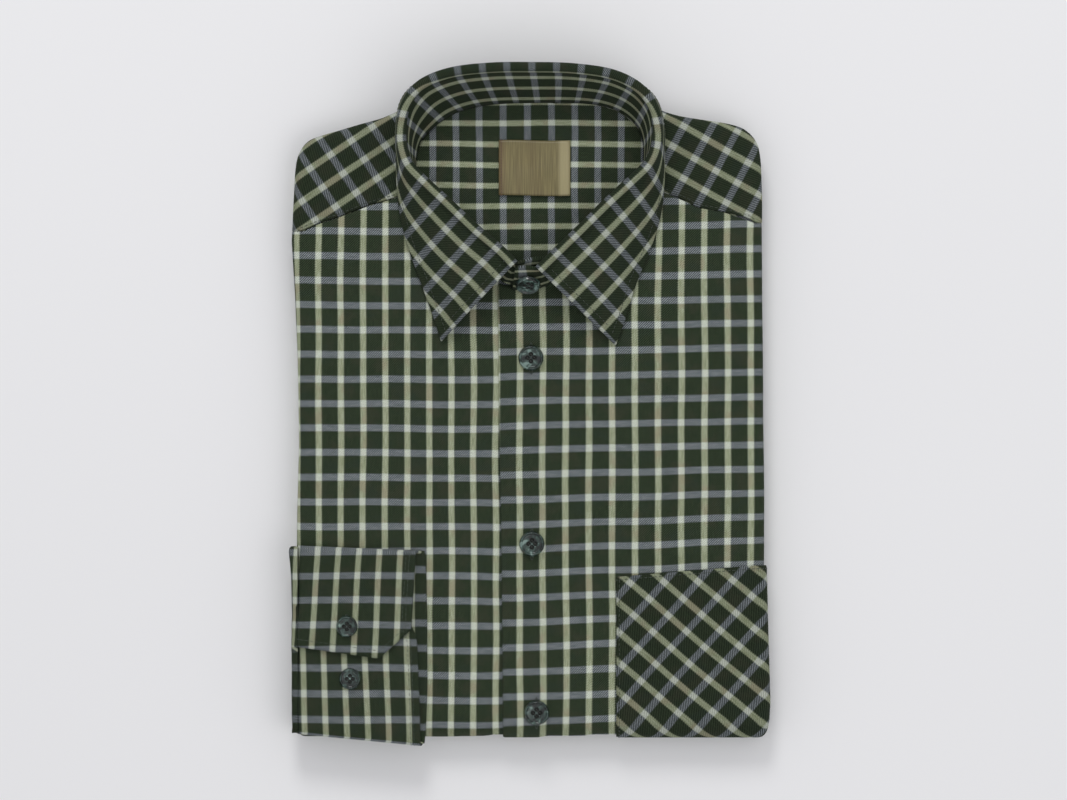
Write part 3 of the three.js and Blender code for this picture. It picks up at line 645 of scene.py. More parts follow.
def core_place(column, run, inner_run, share):
    left_start = side_edge(-1, run) + ROLL + CORE_SIDE_GAP
    right_start = side_edge(1, run) - ROLL - CORE_SIDE_GAP
    if column["side"] == 0:
        x = mix(left_start, right_start, column["flat"])
        inner_x = x + CORE_TUCK * (1 - 2 * column["flat"])
        near_lip = abs(inner_x) > 111 or on_stack(0, inner_run, 0).y > 95
        lip_depth = CORE_LIP_DEPTH - 1.2 * max(0, left_front_inset(inner_x, inner_run))
        face = core_inset(x, run)
        place = on_stack(x, run, face + (CORE_LIP_DEPTH - 0.4 - face) * share)
        if run < 0 and in_neck(x, place.y):
            place.z = min(place.z, LINING_TOP - CLOTH - GAP)
        return place, on_stack(inner_x, inner_run, lip_depth if near_lip else CORE_MIDDLE_DEPTH)
    side = column["side"]
    start = left_start if side < 0 else right_start
    face = core_inset(start, run)
    inset = face + (3.9 - face) * share
    x = start + side * (ROLL - inset) * math.sin(column["angle"])
    inner_depth = CORE_LIP_DEPTH - 1.2 * max(0, left_front_inset(side * 126, run))
    depth = ROLL_HALF - (ROLL_HALF - inset) * math.cos(column["angle"])
    inner_x = start - side * column["tuck"]
    return on_stack(x, run, min(depth, inner_depth - GAP)), on_stack(inner_x, inner_run, inner_depth)


def hidden_layers():
    steps = CORE_ROLL_STEPS
    turns = [math.pi * i / steps for i in range(1, steps + 1)]
    tucks = [CORE_ROLL_TUCK * i / steps for i in range(1, steps + 1)]
    across = [{"side": -1, "angle": a, "tuck": tuck} for a, tuck in zip(turns[::-1], tucks)]
    across += [{"side": 0, "flat": share} for share in spread(80)]
    across += [{"side": 1, "angle": a, "tuck": tuck} for a, tuck in zip(turns, tucks[::-1])]
    outer, inner, uv = [], [], []

    def add_row(run_of, share, inner_run_of=None):
        inner_run_of = inner_run_of or run_of
        row = []
        for column in across:
            x = column["side"] * 126 if column["side"] else FRONT_SIDE_X * (2 * column["flat"] - 1)
            row.append(core_place(column, run_of(x), inner_run_of(x), share))
        outer.append([pair[0] for pair in row])
        inner.append([pair[1] for pair in row])
        uv.append([wander(p[0].x, p[0].y + 2 * p[0].z, 9.0) for p in row])

    def top_run(x):
        return FOLD_Y - look_up(shoulder_line, "x", x, "y")

    add_row(top_run, 0.4)
    for step in spread(100):
        add_row(lambda x: (top_run(x) + 2.5) * (1 - step), 0)
    for step in spread(12)[1:]:
        add_row(lambda x: FOLD_RUN * step, 0)
    reach = TAIL_END_Y - FOLD_Y
    for step in spread(50)[1:-1]:
        add_row(lambda x: FOLD_RUN + (reach - 3) * step, 0)
    end = FOLD_RUN + reach - 2
    for i, step in enumerate(core_end):
        add_row(lambda x: end - step["pull"], step["share"], lambda x: end - 8 + 0.8 * i)
    return cloth_piece("hidden_layers", outer, inner, uv, flannel)


layers = hidden_layers()
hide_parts("folded_layers")


# Yoke: from its seam or the neck, over the top edge and down to the back
yoke_stations = table("seam_x seam_y edge_x edge_y lip", [
    (120.8, 97.8, 125.1, 97.8, 4), (120.3, 98.4, 125.1, 110, 4), (119.2, 99.4, 124.8, 122, 5),
    (117.6, 100.1, 124.0, 134, 7), (115.0, 100.9, 121.6, 142, 14), (110.5, 102.1, 115.0, 148.4, 20),
    (104.5, 103.7, 105.5, 151.3, 22), (90.5, 106.1, 96.0, 152.8, 24), (85.0, 109.1, 88.0, 154.0, 25),
    (73.7, 114.0, 80.0, 155.4, 27), (61.5, 118.6, 73.0, 157.5, 29), (61.8, 126.0, 69.0, 159.2, 30),
    (61.6, 134.5, 65.5, 160.8, 32), (61.0, 143.0, 61.0, 162.3, 33), (55.5, 151.5, 55.0, 163.8, 34),
    (46.0, 158.0, 46.0, 165.4, 35), (33.0, 161.4, 33.0, 166.4, 36), (17.0, 162.0, 17.0, 166.8, 36),
    (0.0, 162.0, 0.0, 166.8, 36), (-17.0, 161.6, -17.0, 166.6, 36), (-30.0, 159.9, -30.0, 165.6, 36),
    (-42.0, 156.0, -42.0, 164.5, 35), (-51.0, 149.5, -51.0, 163.4, 34), (-58.5, 142.0, -59.0, 161.9, 33),
    (-61.8, 133.0, -65.0, 160.0, 31), (-61.5, 125.0, -69.5, 158.3, 29), (-60.6, 117.4, -74.0, 156.3, 28),
    (-71.6, 111.3, -80.5, 153.6, 26), (-86.7, 107.0, -90.0, 151.0, 24), (-101.8, 101.0, -101.0, 147.8, 20),
    (-110.0, 98.4, -111.0, 144.9, 18), (-116.5, 95.9, -119.0, 141.6, 14), (-119.0, 94.9, -124.0, 135.0, 9),
    (-121.0, 94.1, -126.0, 126.0, 5), (-122.4, 93.6, -126.8, 112.0, 4), (-123.2, 93.3, -127.7, 93.3, 4),
])


def yoke_pattern(x, y):
    turn = mix(34, -29, smooth((x + 40) / 80))
    theta = math.radians(turn)
    return wander(-x * math.sin(theta) + y * math.cos(theta), x * math.cos(theta) + y * math.sin(theta), 12.0)


def yoke_piece():
    edge = [Vector((row["edge_x"], row["edge_y"], 0)) for row in yoke_stations]
    last = len(edge) - 1
    places, flats = [], []
    for i, row in enumerate(yoke_stations):
        along = (edge[min(last, i + 1)] - edge[max(0, i - 1)]).normalized()
        out = Vector((along.y, -along.x, 0))
        if i == 0 or i == last:
            out = Vector((1 if i == 0 else -1, 0, 0))
        seam = Vector((row["seam_x"], row["seam_y"], 0))
        start = edge[i] - out * ROLL
        line, flat = [], []
        for share in [0, 0.02, 0.05] + [mix(0.09, 1, k / 16) for k in range(17)]:
            place = seam.lerp(start, share)
            flat.append(place.copy())
            place.z = STACK_HEIGHT - 0.5 * max(0, 1 - share / 0.04)
            line.append(place)
        for k in range(1, 13):
            angle = math.pi * k / 12
            place = start + out * ROLL * math.sin(angle)
            place.z = STACK_HEIGHT - ROLL_HALF + ROLL_HALF * math.cos(angle)
            flat.append(start + out * ROLL_RUN * angle)
            line.append(place)
        for share in (0.25, 0.5, 0.75, 1):
            place = start - out * row["lip"] * share
            place.z = HALF + 0.2
            flat.append(start + out * (ROLL_RUN * math.pi + row["lip"] * share))
            line.append(place)
        places.append(line)
        flats.append(flat)
    outer = [through([line[k] for line in places], 5) for k in range(len(places[0]))]
    flat = [through([line[k] for line in flats], 5) for k in range(len(flats[0]))]
    drape(outer, 1.0, 21.0, lambda p: smooth((p.z - 12) / 5) * (0.35 if abs(p.x) < 74 and p.y > 118 else 1.0))
    uv = [[yoke_pattern(p.x, p.y) for p in row] for row in flat]
    return cloth_piece("yoke", outer, offset(outer, -CLOTH), uv, flannel), outer


yoke, yoke_grid = yoke_piece()
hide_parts("yoke")


# Yoke lining and label, inside the neck
def lining_piece():
    rows = through([Vector((row["left"], row["right"], row["y"])) for row in neck], 5)
    outer = [[Vector((mix(row.x, row.y, share), row.z, LINING_TOP)) for share in spread(56)] for row in rows]
    for row in outer:
        for p in row:
            edge = min((p - row[0]).length, (row[-1] - p).length)
            under_label = smooth((abs(p.x - 2.7) - 20) / 6) if 106 < p.y < 146 else 1.0
            p.z += 0.25 * undulation(p, 28, 33.0) * smooth(edge / 8) * under_label - 0.1
    uv = [[wander((p.y - 151.2) * PALE_PITCH / 11.1, (p.x + 52.1) * BLUE_PITCH / 12.7, 15.0) for p in row]
          for row in outer]
    inner = [[p - Vector((0, 0, CLOTH)) for p in row] for row in outer]
    return cloth_piece("yoke_lining", outer, inner, uv, flannel)


lining = lining_piece()
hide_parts("inner_yoke")

LABEL_LEFT, LABEL_RIGHT, LABEL_TOP, LABEL_BOTTOM = -16.5, 21.9, 142.0, 112.3
LABEL_Z = LINING_TOP + GAP + 0.75
LABEL_CLOTH = 0.5


def label_piece():
    outer = []
    for down in spread(20):
        y = mix(LABEL_TOP, LABEL_BOTTOM, down)
        line = []
        for share in spread(28):
            x = mix(LABEL_LEFT, LABEL_RIGHT, share)
            lift = 0.35 * math.sin(math.pi * share) * (0.6 + 0.4 * down) + 0.35 * smooth((share - 0.84) / 0.1)
            edge = 0.35 * max(0, 1 - (1 - share) / 0.04)
            line.append(Vector((x, y + 0.25 * math.sin(5 * share + 1), LABEL_Z + 0.35 * lift - edge)))
        outer.append(line)
    uv = [[(p.x, p.y) for p in row] for row in outer]
    inner = [[p - Vector((0, 0, LABEL_CLOTH)) for p in row] for row in outer]
    return cloth_piece("label", outer, inner, uv, satin), outer


label, label_grid = label_piece()
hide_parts("label")


# Collar: each row joins a place on the stand's seam to the ridge and to the leaf's edge
collar = table("ridge_x ridge_y ridge_z base_x base_y edge_x edge_y edge_z", [
    (-8.4, 74.8, 37.5, -13, 67.2, -47.6, 34.0, 20.2),
    (-16.5, 83.2, 38.5, -21, 73.0, -51.4, 46.0, 20.2),
    (-29.4, 94.2, 39.5, -34, 83.5, -57.5, 62.9, 20.2),
    (-43.5, 107.5, 40.5, -47, 98.0, -65.5, 85.1, 20.2),
    (-56.0, 119.0, 41.3, -56, 112.5, -69.8, 103.0, 20.0),
    (-64.6, 128.0, 42.0, -60.5, 124, -71.4, 117.0, 19.6),
    (-68.2, 138.5, 43.0, -60.5, 134, -71.9, 132.0, 19.3),
    (-68.4, 150.0, 44.0, -57.5, 142.5, -72.0, 149.5, 20.0),
    (-65.6, 161.5, 45.0, -50.5, 149.5, -69.2, 164.2, 15.5),
    (-57.5, 171.2, 46.2, -41.5, 155.7, -60.0, 174.0, 8.5),
    (-42.0, 177.4, 47.2, -29.5, 159.6, -43.0, 180.9, 7.0),
    (-21.0, 179.9, 48.0, -15, 161.5, -21.4, 183.2, 6.5),
    (1.0, 180.2, 48.2, 3, 161.9, 1.0, 183.4, 6.5),
    (23.0, 179.6, 48.0, 21, 162.0, 23.6, 182.9, 6.5),
    (43.5, 176.6, 47.2, 36, 160.9, 45.0, 179.9, 7.0),
    (57.5, 170.0, 46.2, 48.5, 157.0, 60.2, 172.6, 8.5),
    (65.4, 160.8, 45.0, 57.5, 149.5, 69.0, 163.5, 15.5),
    (68.4, 150.0, 44.0, 60.8, 141.5, 72.6, 149.5, 20.0),
    (67.8, 138.5, 43.0, 61.2, 133.0, 72.8, 132.0, 19.3),
    (63.6, 128.8, 42.0, 60.8, 123.5, 72.5, 115.5, 19.6),
    (54.0, 119.2, 41.3, 56.5, 111.8, 70.0, 99.0, 20.0),
    (42.0, 108.0, 40.5, 47.5, 97.2, 64.4, 81.5, 20.2),
    (28.9, 95.0, 39.5, 34.5, 82.5, 57.5, 65.1, 20.2),
    (15.4, 82.0, 38.5, 20.5, 71.5, 51.6, 46.0, 20.2),
    (5.1, 71.9, 37.5, 10.5, 65.6, 46.4, 31.8, 20.2),
])
STAND_BASE_Z = 18.4
STAND_TOP_DROP = 3.8
LEAF_SEAM = 0.5
STAND_IN = 2.9
LEAF_OUT = 2.7


def collar_line(names):
    points = []
    for row in collar:
        place = Vector([row[name] if name in row else STAND_BASE_Z for name in names.split()])
        if "base_z" in names and row["base_x"] >= 0:
            place.z += 1.15 * STEP_OUT * smooth((22 - row["base_x"]) / 8)
        points.append(place)
    return through(points, 8)


ridge = collar_line("ridge_x ridge_y ridge_z")
base = collar_line("base_x base_y base_z")
edge = collar_line("edge_x edge_y edge_z")


def inward(i):
    along = ridge[min(len(ridge) - 1, i + 1)] - ridge[max(0, i - 1)]
    along.z = 0
    along.normalize()
    return Vector((along.y, -along.x, 0))


def stand_top(i):
    return ridge[i] + inward(i) * STAND_IN - Vector((0, 0, STAND_TOP_DROP))


# The stand's two ends: each place on its seam, and the one above it on its top
under_end = [
    (Vector((9, 66.0, 19.9)), Vector((9.5, 79.6, 33.4))),
    (Vector((-2, 64.6, 19.7)), Vector((1.5, 79.0, 33.6))),
]
over_end = [
    (Vector((1, 62.2, 20.0)), Vector((-1.5, 74.6, 35.6))),
    (Vector((-9.0, 63.0, 20.0)), Vector((-7.6, 74.2, 34.4))),
]


def between(pairs, steps):
    joined = []
    for (base_a, top_a), (base_b, top_b) in zip(pairs, pairs[1:]):
        joined += [(base_a.lerp(base_b, k / steps), top_a.lerp(top_b, k / steps)) for k in range(steps)]
    return joined


def level_row(grid, other, row):
    for a, b in zip(grid[row], other[row]):
        a.z = b.z


def stand_piece():
    ring = [(base[i], stand_top(i)) for i in range(len(ridge))]
    stations = between(under_end + ring[:1], 6) + ring[:-1] + between(ring[-1:] + over_end, 6) + over_end[-1:]
    inner = [[b.lerp(t, share) for b, t in stations] for share in spread(12)]
    run = distances(inner[-1])
    outer = offset(inner, COLLAR_CLOTH)
    level_row(outer, inner, 0)
    level_row(outer, inner, len(inner) - 1)
    uv = [[wander(36 * i / 12 - 5.5, s + 3, 18.0) for s in run] for i in range(len(inner))]
    return cloth_piece("collar_stand", outer, inner, uv, flannel)


def leaf_piece():
    stations = []
    for i, top in enumerate(ridge):
        to_neck = inward(i)
        start = stand_top(i)
        start.z = top.z - STAND_TOP_DROP + LEAF_SEAM
        rise = top + to_neck * STAND_IN * 0.75 - Vector((0, 0, 0.9))
        shoulder = top - to_neck * LEAF_OUT * 0.8 - Vector((0, 0, 1.0))
        outside = top - to_neck * LEAF_OUT - Vector((0, 0, 3.4))
        reach = (outside - edge[i]).length
        flat_reach = math.hypot(outside.x - edge[i].x, outside.y - edge[i].y)
        points = through([start, rise, top.copy(), shoulder, outside], 3)[:-1]
        for share in spread(22)[:-1] + [0.985, 1]:
            place = outside.lerp(edge[i], share)
            place.z += 0.05 * flat_reach * 4 * share * (1 - share)
            points.append(place)
        stations.append(points)
    outer = [[points[k] for points in stations] for k in range(len(stations[0]))]
    half = len(ridge) / 2
    front_run = distances(ridge)
    for k, row in enumerate(outer):
        for i, p in enumerate(row):
            share = max(0, (k - 12) / 22)
            down = math.sin(math.pi * min(1, share)) if share else 0
            p.z += down * (0.7 * undulation(p, 26, 40.0) + 0.3 * undulation(p, 11, 44.0))
    inner = offset(outer, COLLAR_CLOTH)
    level_row(inner, outer, 0)
    uv = []
    falls = [distances([row[i] for row in outer]) for i in range(len(ridge))]
    for k in range(len(outer)):
        line = []
        for i in range(len(ridge)):
            along = front_run[i] if i < half else front_run[-1] - front_run[i]
            past_ridge = falls[i][k] - falls[i][6] - 1.0 + 5.6 * smooth((along - 85) / 60)
            line.append(wander(past_ridge, along, 20.0 if i < half else 24.0))
        uv.append(line)
    return cloth_piece("collar_leaf", outer, inner, uv, flannel), outer


stand = stand_piece()
leaf, leaf_grid = leaf_piece()
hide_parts("collar_stand")
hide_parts("collar_leaf")


# Pocket, on the bias, made from the left front's own places and moved out
def pocket_piece():
    columns = [(share, 0, 0) for share in [0, 0.02, 0.05] + [mix(0.08, 1, k / 30) for k in range(31)]]
    columns += [(1, 0.6 * math.pi * k / 7, 0) for k in range(1, 8)]
    fall, rise = math.radians(40), math.radians(48)
    outer, under, uv = [], [], []
    for column in columns:
        start = POCKET_TOP_RUN - 6.2 * (column[0] if column[1] == 0 else 1)
        runs = [start * (1 - share) for share in [0, 0.015, 0.04] + [mix(0.07, 1, k / 34) for k in range(35)]]
        runs += [FOLD_RUN * k / 14 for k in range(1, 15)]
        runs += [mix(FOLD_RUN, POCKET_END_RUN, k / 12) for k in range(1, 13)]
        line, below, places = [], [], []
        for k, run in enumerate(runs):
            flat_x = across_panel(column, 1, POCKET_LEFT, run, 0)[0]
            soft = 0.45 if k == 0 or column[0] == 0 else 0.0
            for out, made in ((STEP_OUT - soft, line), (GAP, below)):
                x, depth = across_panel(column, 1, POCKET_LEFT, run, left_front_inset(flat_x, run) - out)
                made.append(on_stack(x, run, depth))
            x = flat_x if column[1] == 0 else side_edge(1, run) - ROLL + ROLL_RUN * column[1]
            y = FOLD_Y - run
            places.append(wander(
                x * math.sin(fall) + y * math.cos(fall) + 2.2,
                -x * math.sin(rise) + y * math.cos(rise) - 1.5,
                28.0,
            ))
        outer.append(line)
        under.append(below)
        uv.append(places)
    for row, below in zip(outer, under):
        for a, b in zip(row, below):
            if a.z > 16:
                lift = 0.45 * (0.5 + undulation(a, 30, 50.0))
                lift += max(0.0, crease_height(a.x, a.y)) * 0.6
                a.z += lift
                b.z += lift * 0.55
    return cloth_piece("pocket", outer, under, uv, flannel), outer


pocket, pocket_grid = pocket_piece()
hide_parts("pocket")


# Cuff: a flattened band round the wrist, one length of cloth whose two ends overlap on top
cuff_band = table("y z hand_x sleeve_y", [
    (-120.7, 24.2, -63.4, -130.1), (-112.0, 24.2, -62.9, -118.0), (-104.0, 22.9, -62.4, -106.0),
    (-90.0, 22.6, -61.6, -90.0), (-80.6, 22.4, -60.9, -78.4), (-78.9, 21.6, -60.8, -76.2),
    (-78.4, 20.4, -60.6, -75.7), (-79.0, 19.1, -58.0, -76.3), (-81.0, 18.4, -56.6, -78.4),
    (-105.0, 18.3, -55.6, -105.0), (-130.0, 18.3, -55.4, -130.0), (-155.0, 18.3, -55.4, -152.0),
    (-179.4, 18.3, -56.6, -173.6), (-182.2, 18.9, -57.4, -176.2), (-183.4, 20.2, -58.2, -177.0),
    (-182.2, 21.6, -58.5, -176.2), (-179.8, 22.3, -58.6, -173.8), (-160.0, 22.4, -59.0, -158.0),
    (-140.0, 22.4, -59.8, -142.0), (-126.0, 22.4, -60.6, -128.0), (-118.0, 22.3, -63.5, -120.0),
    (-112.0, 22.2, -64.5, -112.0),
])
MITRE_X, MITRE_Y = -80.7, -136.4
CUFF_END_X = -124.3
CUFF_TURN_X = -119.5
LEAN = 0.061
LOWER_LEAN = 0.032
# The cuff's pale stripes are this far apart, and its lower layer this far round the band
CUFF_PALE_PITCH = 11.2
CUFF_ROUND = 12 * BLUE_PITCH


def roll_drop(x):
    reach = max(0, -x - (125.2 - ROLL)) / ROLL
    return ROLL_HALF * (1 - math.sqrt(max(0, 1 - reach * reach)))


def cuff_point(i, x):
    row = cuff_band[i]
    share = (x - row["hand_x"]) / (CUFF_END_X - row["hand_x"])
    y = mix(row["y"], row["sleeve_y"], share)
    if i == 0:
        at_mitre = (row["hand_x"] - MITRE_X) / (row["hand_x"] - CUFF_END_X)
        past = max(0, (share - at_mitre) / (1 - at_mitre))
        y = mix(row["y"], MITRE_Y, min(1, share / at_mitre)) + (row["sleeve_y"] - MITRE_Y) * past
    return Vector((x, y, row["z"] - roll_drop(x)))


band_run = distances([Vector((0, row["y"], row["z"])) for row in cuff_band])


def cuff_pattern(point, band):
    """Pattern place on the band: the upper layer, the lower one, and one joined to the other underneath."""
    upper_u = (point.x + 115.3 - LEAN * (point.y + 105)) * PALE_PITCH / CUFF_PALE_PITCH
    lower_u = (point.x + 109.8 + LOWER_LEAN * (point.y + 160)) * PALE_PITCH / CUFF_PALE_PITCH
    upper_v = -(point.y + 105) * 1.02
    lower_v = -(point.y + 155.3) * 0.96 - CUFF_ROUND
    turned = smooth((band - 4) / 12)
    behind = 6.0 * smooth((band - 6) / 2) * (1 - smooth((band - 12) / 2))
    if band <= 4:
        v = upper_v
    elif band >= 16:
        v = lower_v
    else:
        k = int(band)
        run = mix(band_run[k], band_run[k + 1], band - k)
        v = mix(-24.9, 23.5 - CUFF_ROUND, (run - band_run[4]) / (band_run[16] - band_run[4]))
    return wander(mix(upper_u, lower_u, turned) + behind, v, 30.0)


def cuff_piece():
    shares = [0, 0.01, 0.025] + [mix(0.045, 1, k / 34) for k in range(35)]
    coarse, uv = [], []
    for i, row in enumerate(cuff_band):
        xs = [mix(row["hand_x"], CUFF_TURN_X, share) for share in shares]
        if i == 0:
            nearest = min(range(len(xs)), key=lambda k: abs(xs[k] - MITRE_X))
            xs[nearest] = MITRE_X
        xs += [mix(CUFF_TURN_X, CUFF_END_X, k / 6) for k in range(1, 7)]
        coarse.append([cuff_point(i, x) for x in xs])
    steps = 5
    lines = [through([row[j] for row in coarse], steps) for j in range(len(coarse[0]))]
    outer = [[line[i] for line in lines] for i in range(len(lines[0]))]
    for i, row in enumerate(outer):
        band = i / steps
        uv.append([cuff_pattern(p, band) for p in row])
        for j, p in enumerate(row):
            if p.z > 22 or band > 15:
                under_other = 0.0 if band > 18 and p.y > -138 else 1.0
                bulge = math.exp(-(((p.y + 121) / 9) ** 2 + ((p.x + 118) / 8) ** 2))
                lift = 0.35 * undulation(p, 24, 60.0) + 0.5 * bulge
                rim = min(1.0, j / 6)
                p.z += (lift + 0.3) * under_other * rim * smooth((p.z - 20) / 2)
    for p in outer[0] + [row[0] for row in outer]:
        p.z -= 0.25
    return cloth_piece("right_cuff", outer, offset(outer, -CUFF_CLOTH), uv, flannel), outer


cuff, cuff_grid = cuff_piece()
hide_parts("cuff_right")

# Sleeve: from the cuff's seam round the side fold to the crease between the two rolls
sleeve_section = [(-127.0, 20.3), (-127.4, 17.5), (-127.3, 13.5), (-127.1, 11.9), (-126.6, 10.6)]
sleeve_ends = table("y out pinch", [
    (-76.2, 0.6, 1.2), (-79.0, 1.9, 0.3), (-90.0, 0.9, 0), (-110.0, 0.2, 0), (-130.0, 0.4, 0),
    (-150.0, 0.3, 0), (-166.0, 0.2, 0), (-173.6, 0, 0.3), (-176.4, -0.4, 1.2),
])


def sleeve_piece():
    coarse = []
    for end in sleeve_ends:
        cuff_top = mix(21.1, 22.8, smooth((end["y"] + 135) / 8)) - end["pinch"]
        top_drops = ((-124.25, 0.0), (-124.3, 0.0), (-125.3, 0.2), (-126.3, 0.9))
        section = [(x, cuff_top - drop) for x, drop in top_drops] + sleeve_section
        line = []
        for i, (x, z) in enumerate(section):
            middle = math.sin(math.pi * i / (len(section) - 1))
            line.append(Vector((x - end["out"] * middle, end["y"], z)))
        coarse.append(through(line, 3))
    lines = [through([row[j] for row in coarse], 6) for j in range(len(coarse[0]))]
    outer = [[line[i] for line in lines] for i in range(len(lines[0]))]
    uv = []
    for row in outer:
        for p in row:
            p.x -= 0.3 * (0.5 + undulation(p, 9, 70.0))
        run = distances(row)
        uv.append([
            cuff_pattern(Vector((CUFF_END_X - s, p.y, p.z)), 0 if p.y > -133 else 20)
            for s, p in zip(run, row)
        ])
    outer = [row[::-1] for row in outer]
    uv = [row[::-1] for row in uv]
    return cloth_piece("right_sleeve", outer, offset(outer, -CLOTH), uv, flannel)


sleeve = sleeve_piece()
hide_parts("sleeve_right")


# Buttons, with a raised rim, a dished face, four holes and the thread that holds them
def button_height(radius, r, thickness):
    share = r / radius
    rim = math.exp(-(((share - 0.86) / 0.085) ** 2)) * 0.3
    dish = 0.62 + 0.12 * share * share
    edge = smooth((1.0 - share) / 0.09)
    return thickness * ((dish + rim) * edge + 0.35 * (1 - edge))


def button_piece(name, x, y, z, tilt, diameter):
    radius, thickness = diameter / 2, diameter * 0.2
    turn = Matrix.Rotation(tilt, 3, "X")
    place = Vector((x, y, z))
    around, hole_out, hole_radius = 72, diameter * 0.14, diameter * 0.08
    quarters = [math.pi / 2 * q for q in range(4)]
    holes = [(hole_out * math.cos(turned), hole_out * math.sin(turned)) for turned in quarters]
    points, faces = [Vector((0, 0, 0))], []
    rings = [(radius * 0.8 * (k + 1) / 6, 0.0) for k in range(6)]
    rings += [(radius * 0.93, thickness * 0.12), (radius, thickness * 0.36)]
    rings += [(radius * (1 - k / 44), None) for k in range(1, 44)]
    for r, height in rings:
        for k in range(around):
            a = 2 * math.pi * k / around
            px, py = r * math.cos(a), r * math.sin(a)
            top = button_height(radius, r, thickness) if height is None else height
            if height is None and r < radius * 0.5:
                for hole in holes:
                    near = math.hypot(px - hole[0], py - hole[1])
                    top = mix(top, thickness * 0.12, 1 - smooth((near - hole_radius) / 0.18))
            points.append(Vector((px, py, top)))
    points.append(Vector((0, 0, button_height(radius, 0, thickness))))
    count = len(rings)
    for k in range(around):
        after = (k + 1) % around
        faces.append((0, 1 + after, 1 + k))
        for ring in range(count - 1):
            a, b = 1 + ring * around + k, 1 + ring * around + after
            faces.append((a, b, b + around, a + around))
        faces.append((1 + (count - 1) * around + k, 1 + (count - 1) * around + after, len(points) - 1))
    local = points
    points = [turn @ p + place for p in points]
    made = make_mesh(name, points, outward(points, faces), None, resin)
    made.data.materials.append(dark_thread)
    for polygon in made.data.polygons:
        centre = sum((local[i] for i in polygon.vertices), Vector()) / len(polygon.vertices)
        low_in_hole = 0.05 < centre.z < thickness * 0.45
        near = min(math.hypot(centre.x - hole[0], centre.y - hole[1]) for hole in holes)
        if low_in_hole and near < hole_radius * 1.15:
            polygon.material_index = 1
    return made


def tube(name, line, radius, material, sides_count=8):
    points, faces = [], []
    for i, p in enumerate(line):
        along = (line[min(len(line) - 1, i + 1)] - line[max(0, i - 1)]).normalized()
        side = along.cross(Vector((0.13, 0.21, 0.97))).normalized()
        up = side.cross(along)
        for k in range(sides_count):
            a = 2 * math.pi * k / sides_count
            points.append(p + (side * math.cos(a) + up * math.sin(a)) * radius)
    for i in range(len(line) - 1):
        for k in range(sides_count):
            a, b = i * sides_count + k, i * sides_count + (k + 1) % sides_count
            faces.append((a, b, b + sides_count, a + sides_count))
    faces.append(tuple(range(sides_count))[::-1])
    faces.append(tuple(len(points) - sides_count + k for k in range(sides_count)))
    return make_mesh(name, points, outward(points, faces), None, material)


FRONT_FACE = STACK_HEIGHT + STEP_OUT + GAP
buttons = table("node x y z tilt diameter", [
    ("button_neck", -0.8, 65.0, 26.5, 0.9, 13.5),
    ("button_front_1", 0.8, 25.1, FRONT_FACE, 0, 13.5),
    ("button_front_2", 1.3, -74.8, FRONT_FACE, 0, 13.5),
    ("button_front_3", 3.8, -165.5, FRONT_FACE + 0.1, 0.09, 13.5),
    ("button_cuff_1", -98.0, -119.1, 24.6, 0, 11.5),
    ("button_cuff_2", -96.4, -147.2, 22.8, 0, 11.5),
])
threads = []
for row in buttons:
    shape = [row[key] for key in ("x", "y", "z", "tilt", "diameter")]
    made = button_piece(row["node"] + "_disc", *shape)
    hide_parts(row["node"])
    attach(made, "root")
    turn = Matrix.Rotation(row["tilt"], 3, "X")
    out, thick = row["diameter"] * 0.13, row["diameter"] * 0.2
    for start, stop in ((0, 1), (2, 3)):
        arch = []
        for k in range(9):
            t = k / 8
            height = thick * (0.2 + 0.5 * math.sin(math.pi * t) ** 0.6)
            a, b = math.pi / 2 * start, math.pi / 2 * stop
            spot = Vector((mix(math.cos(a), math.cos(b), t), mix(math.sin(a), math.sin(b), t), 0)) * out
            arch.append(turn @ (spot + Vector((0, 0, height))) + Vector((row["x"], row["y"], row["z"])))
        threads.append(tube(row["node"] + "_thread", arch, 0.22, dark_thread))


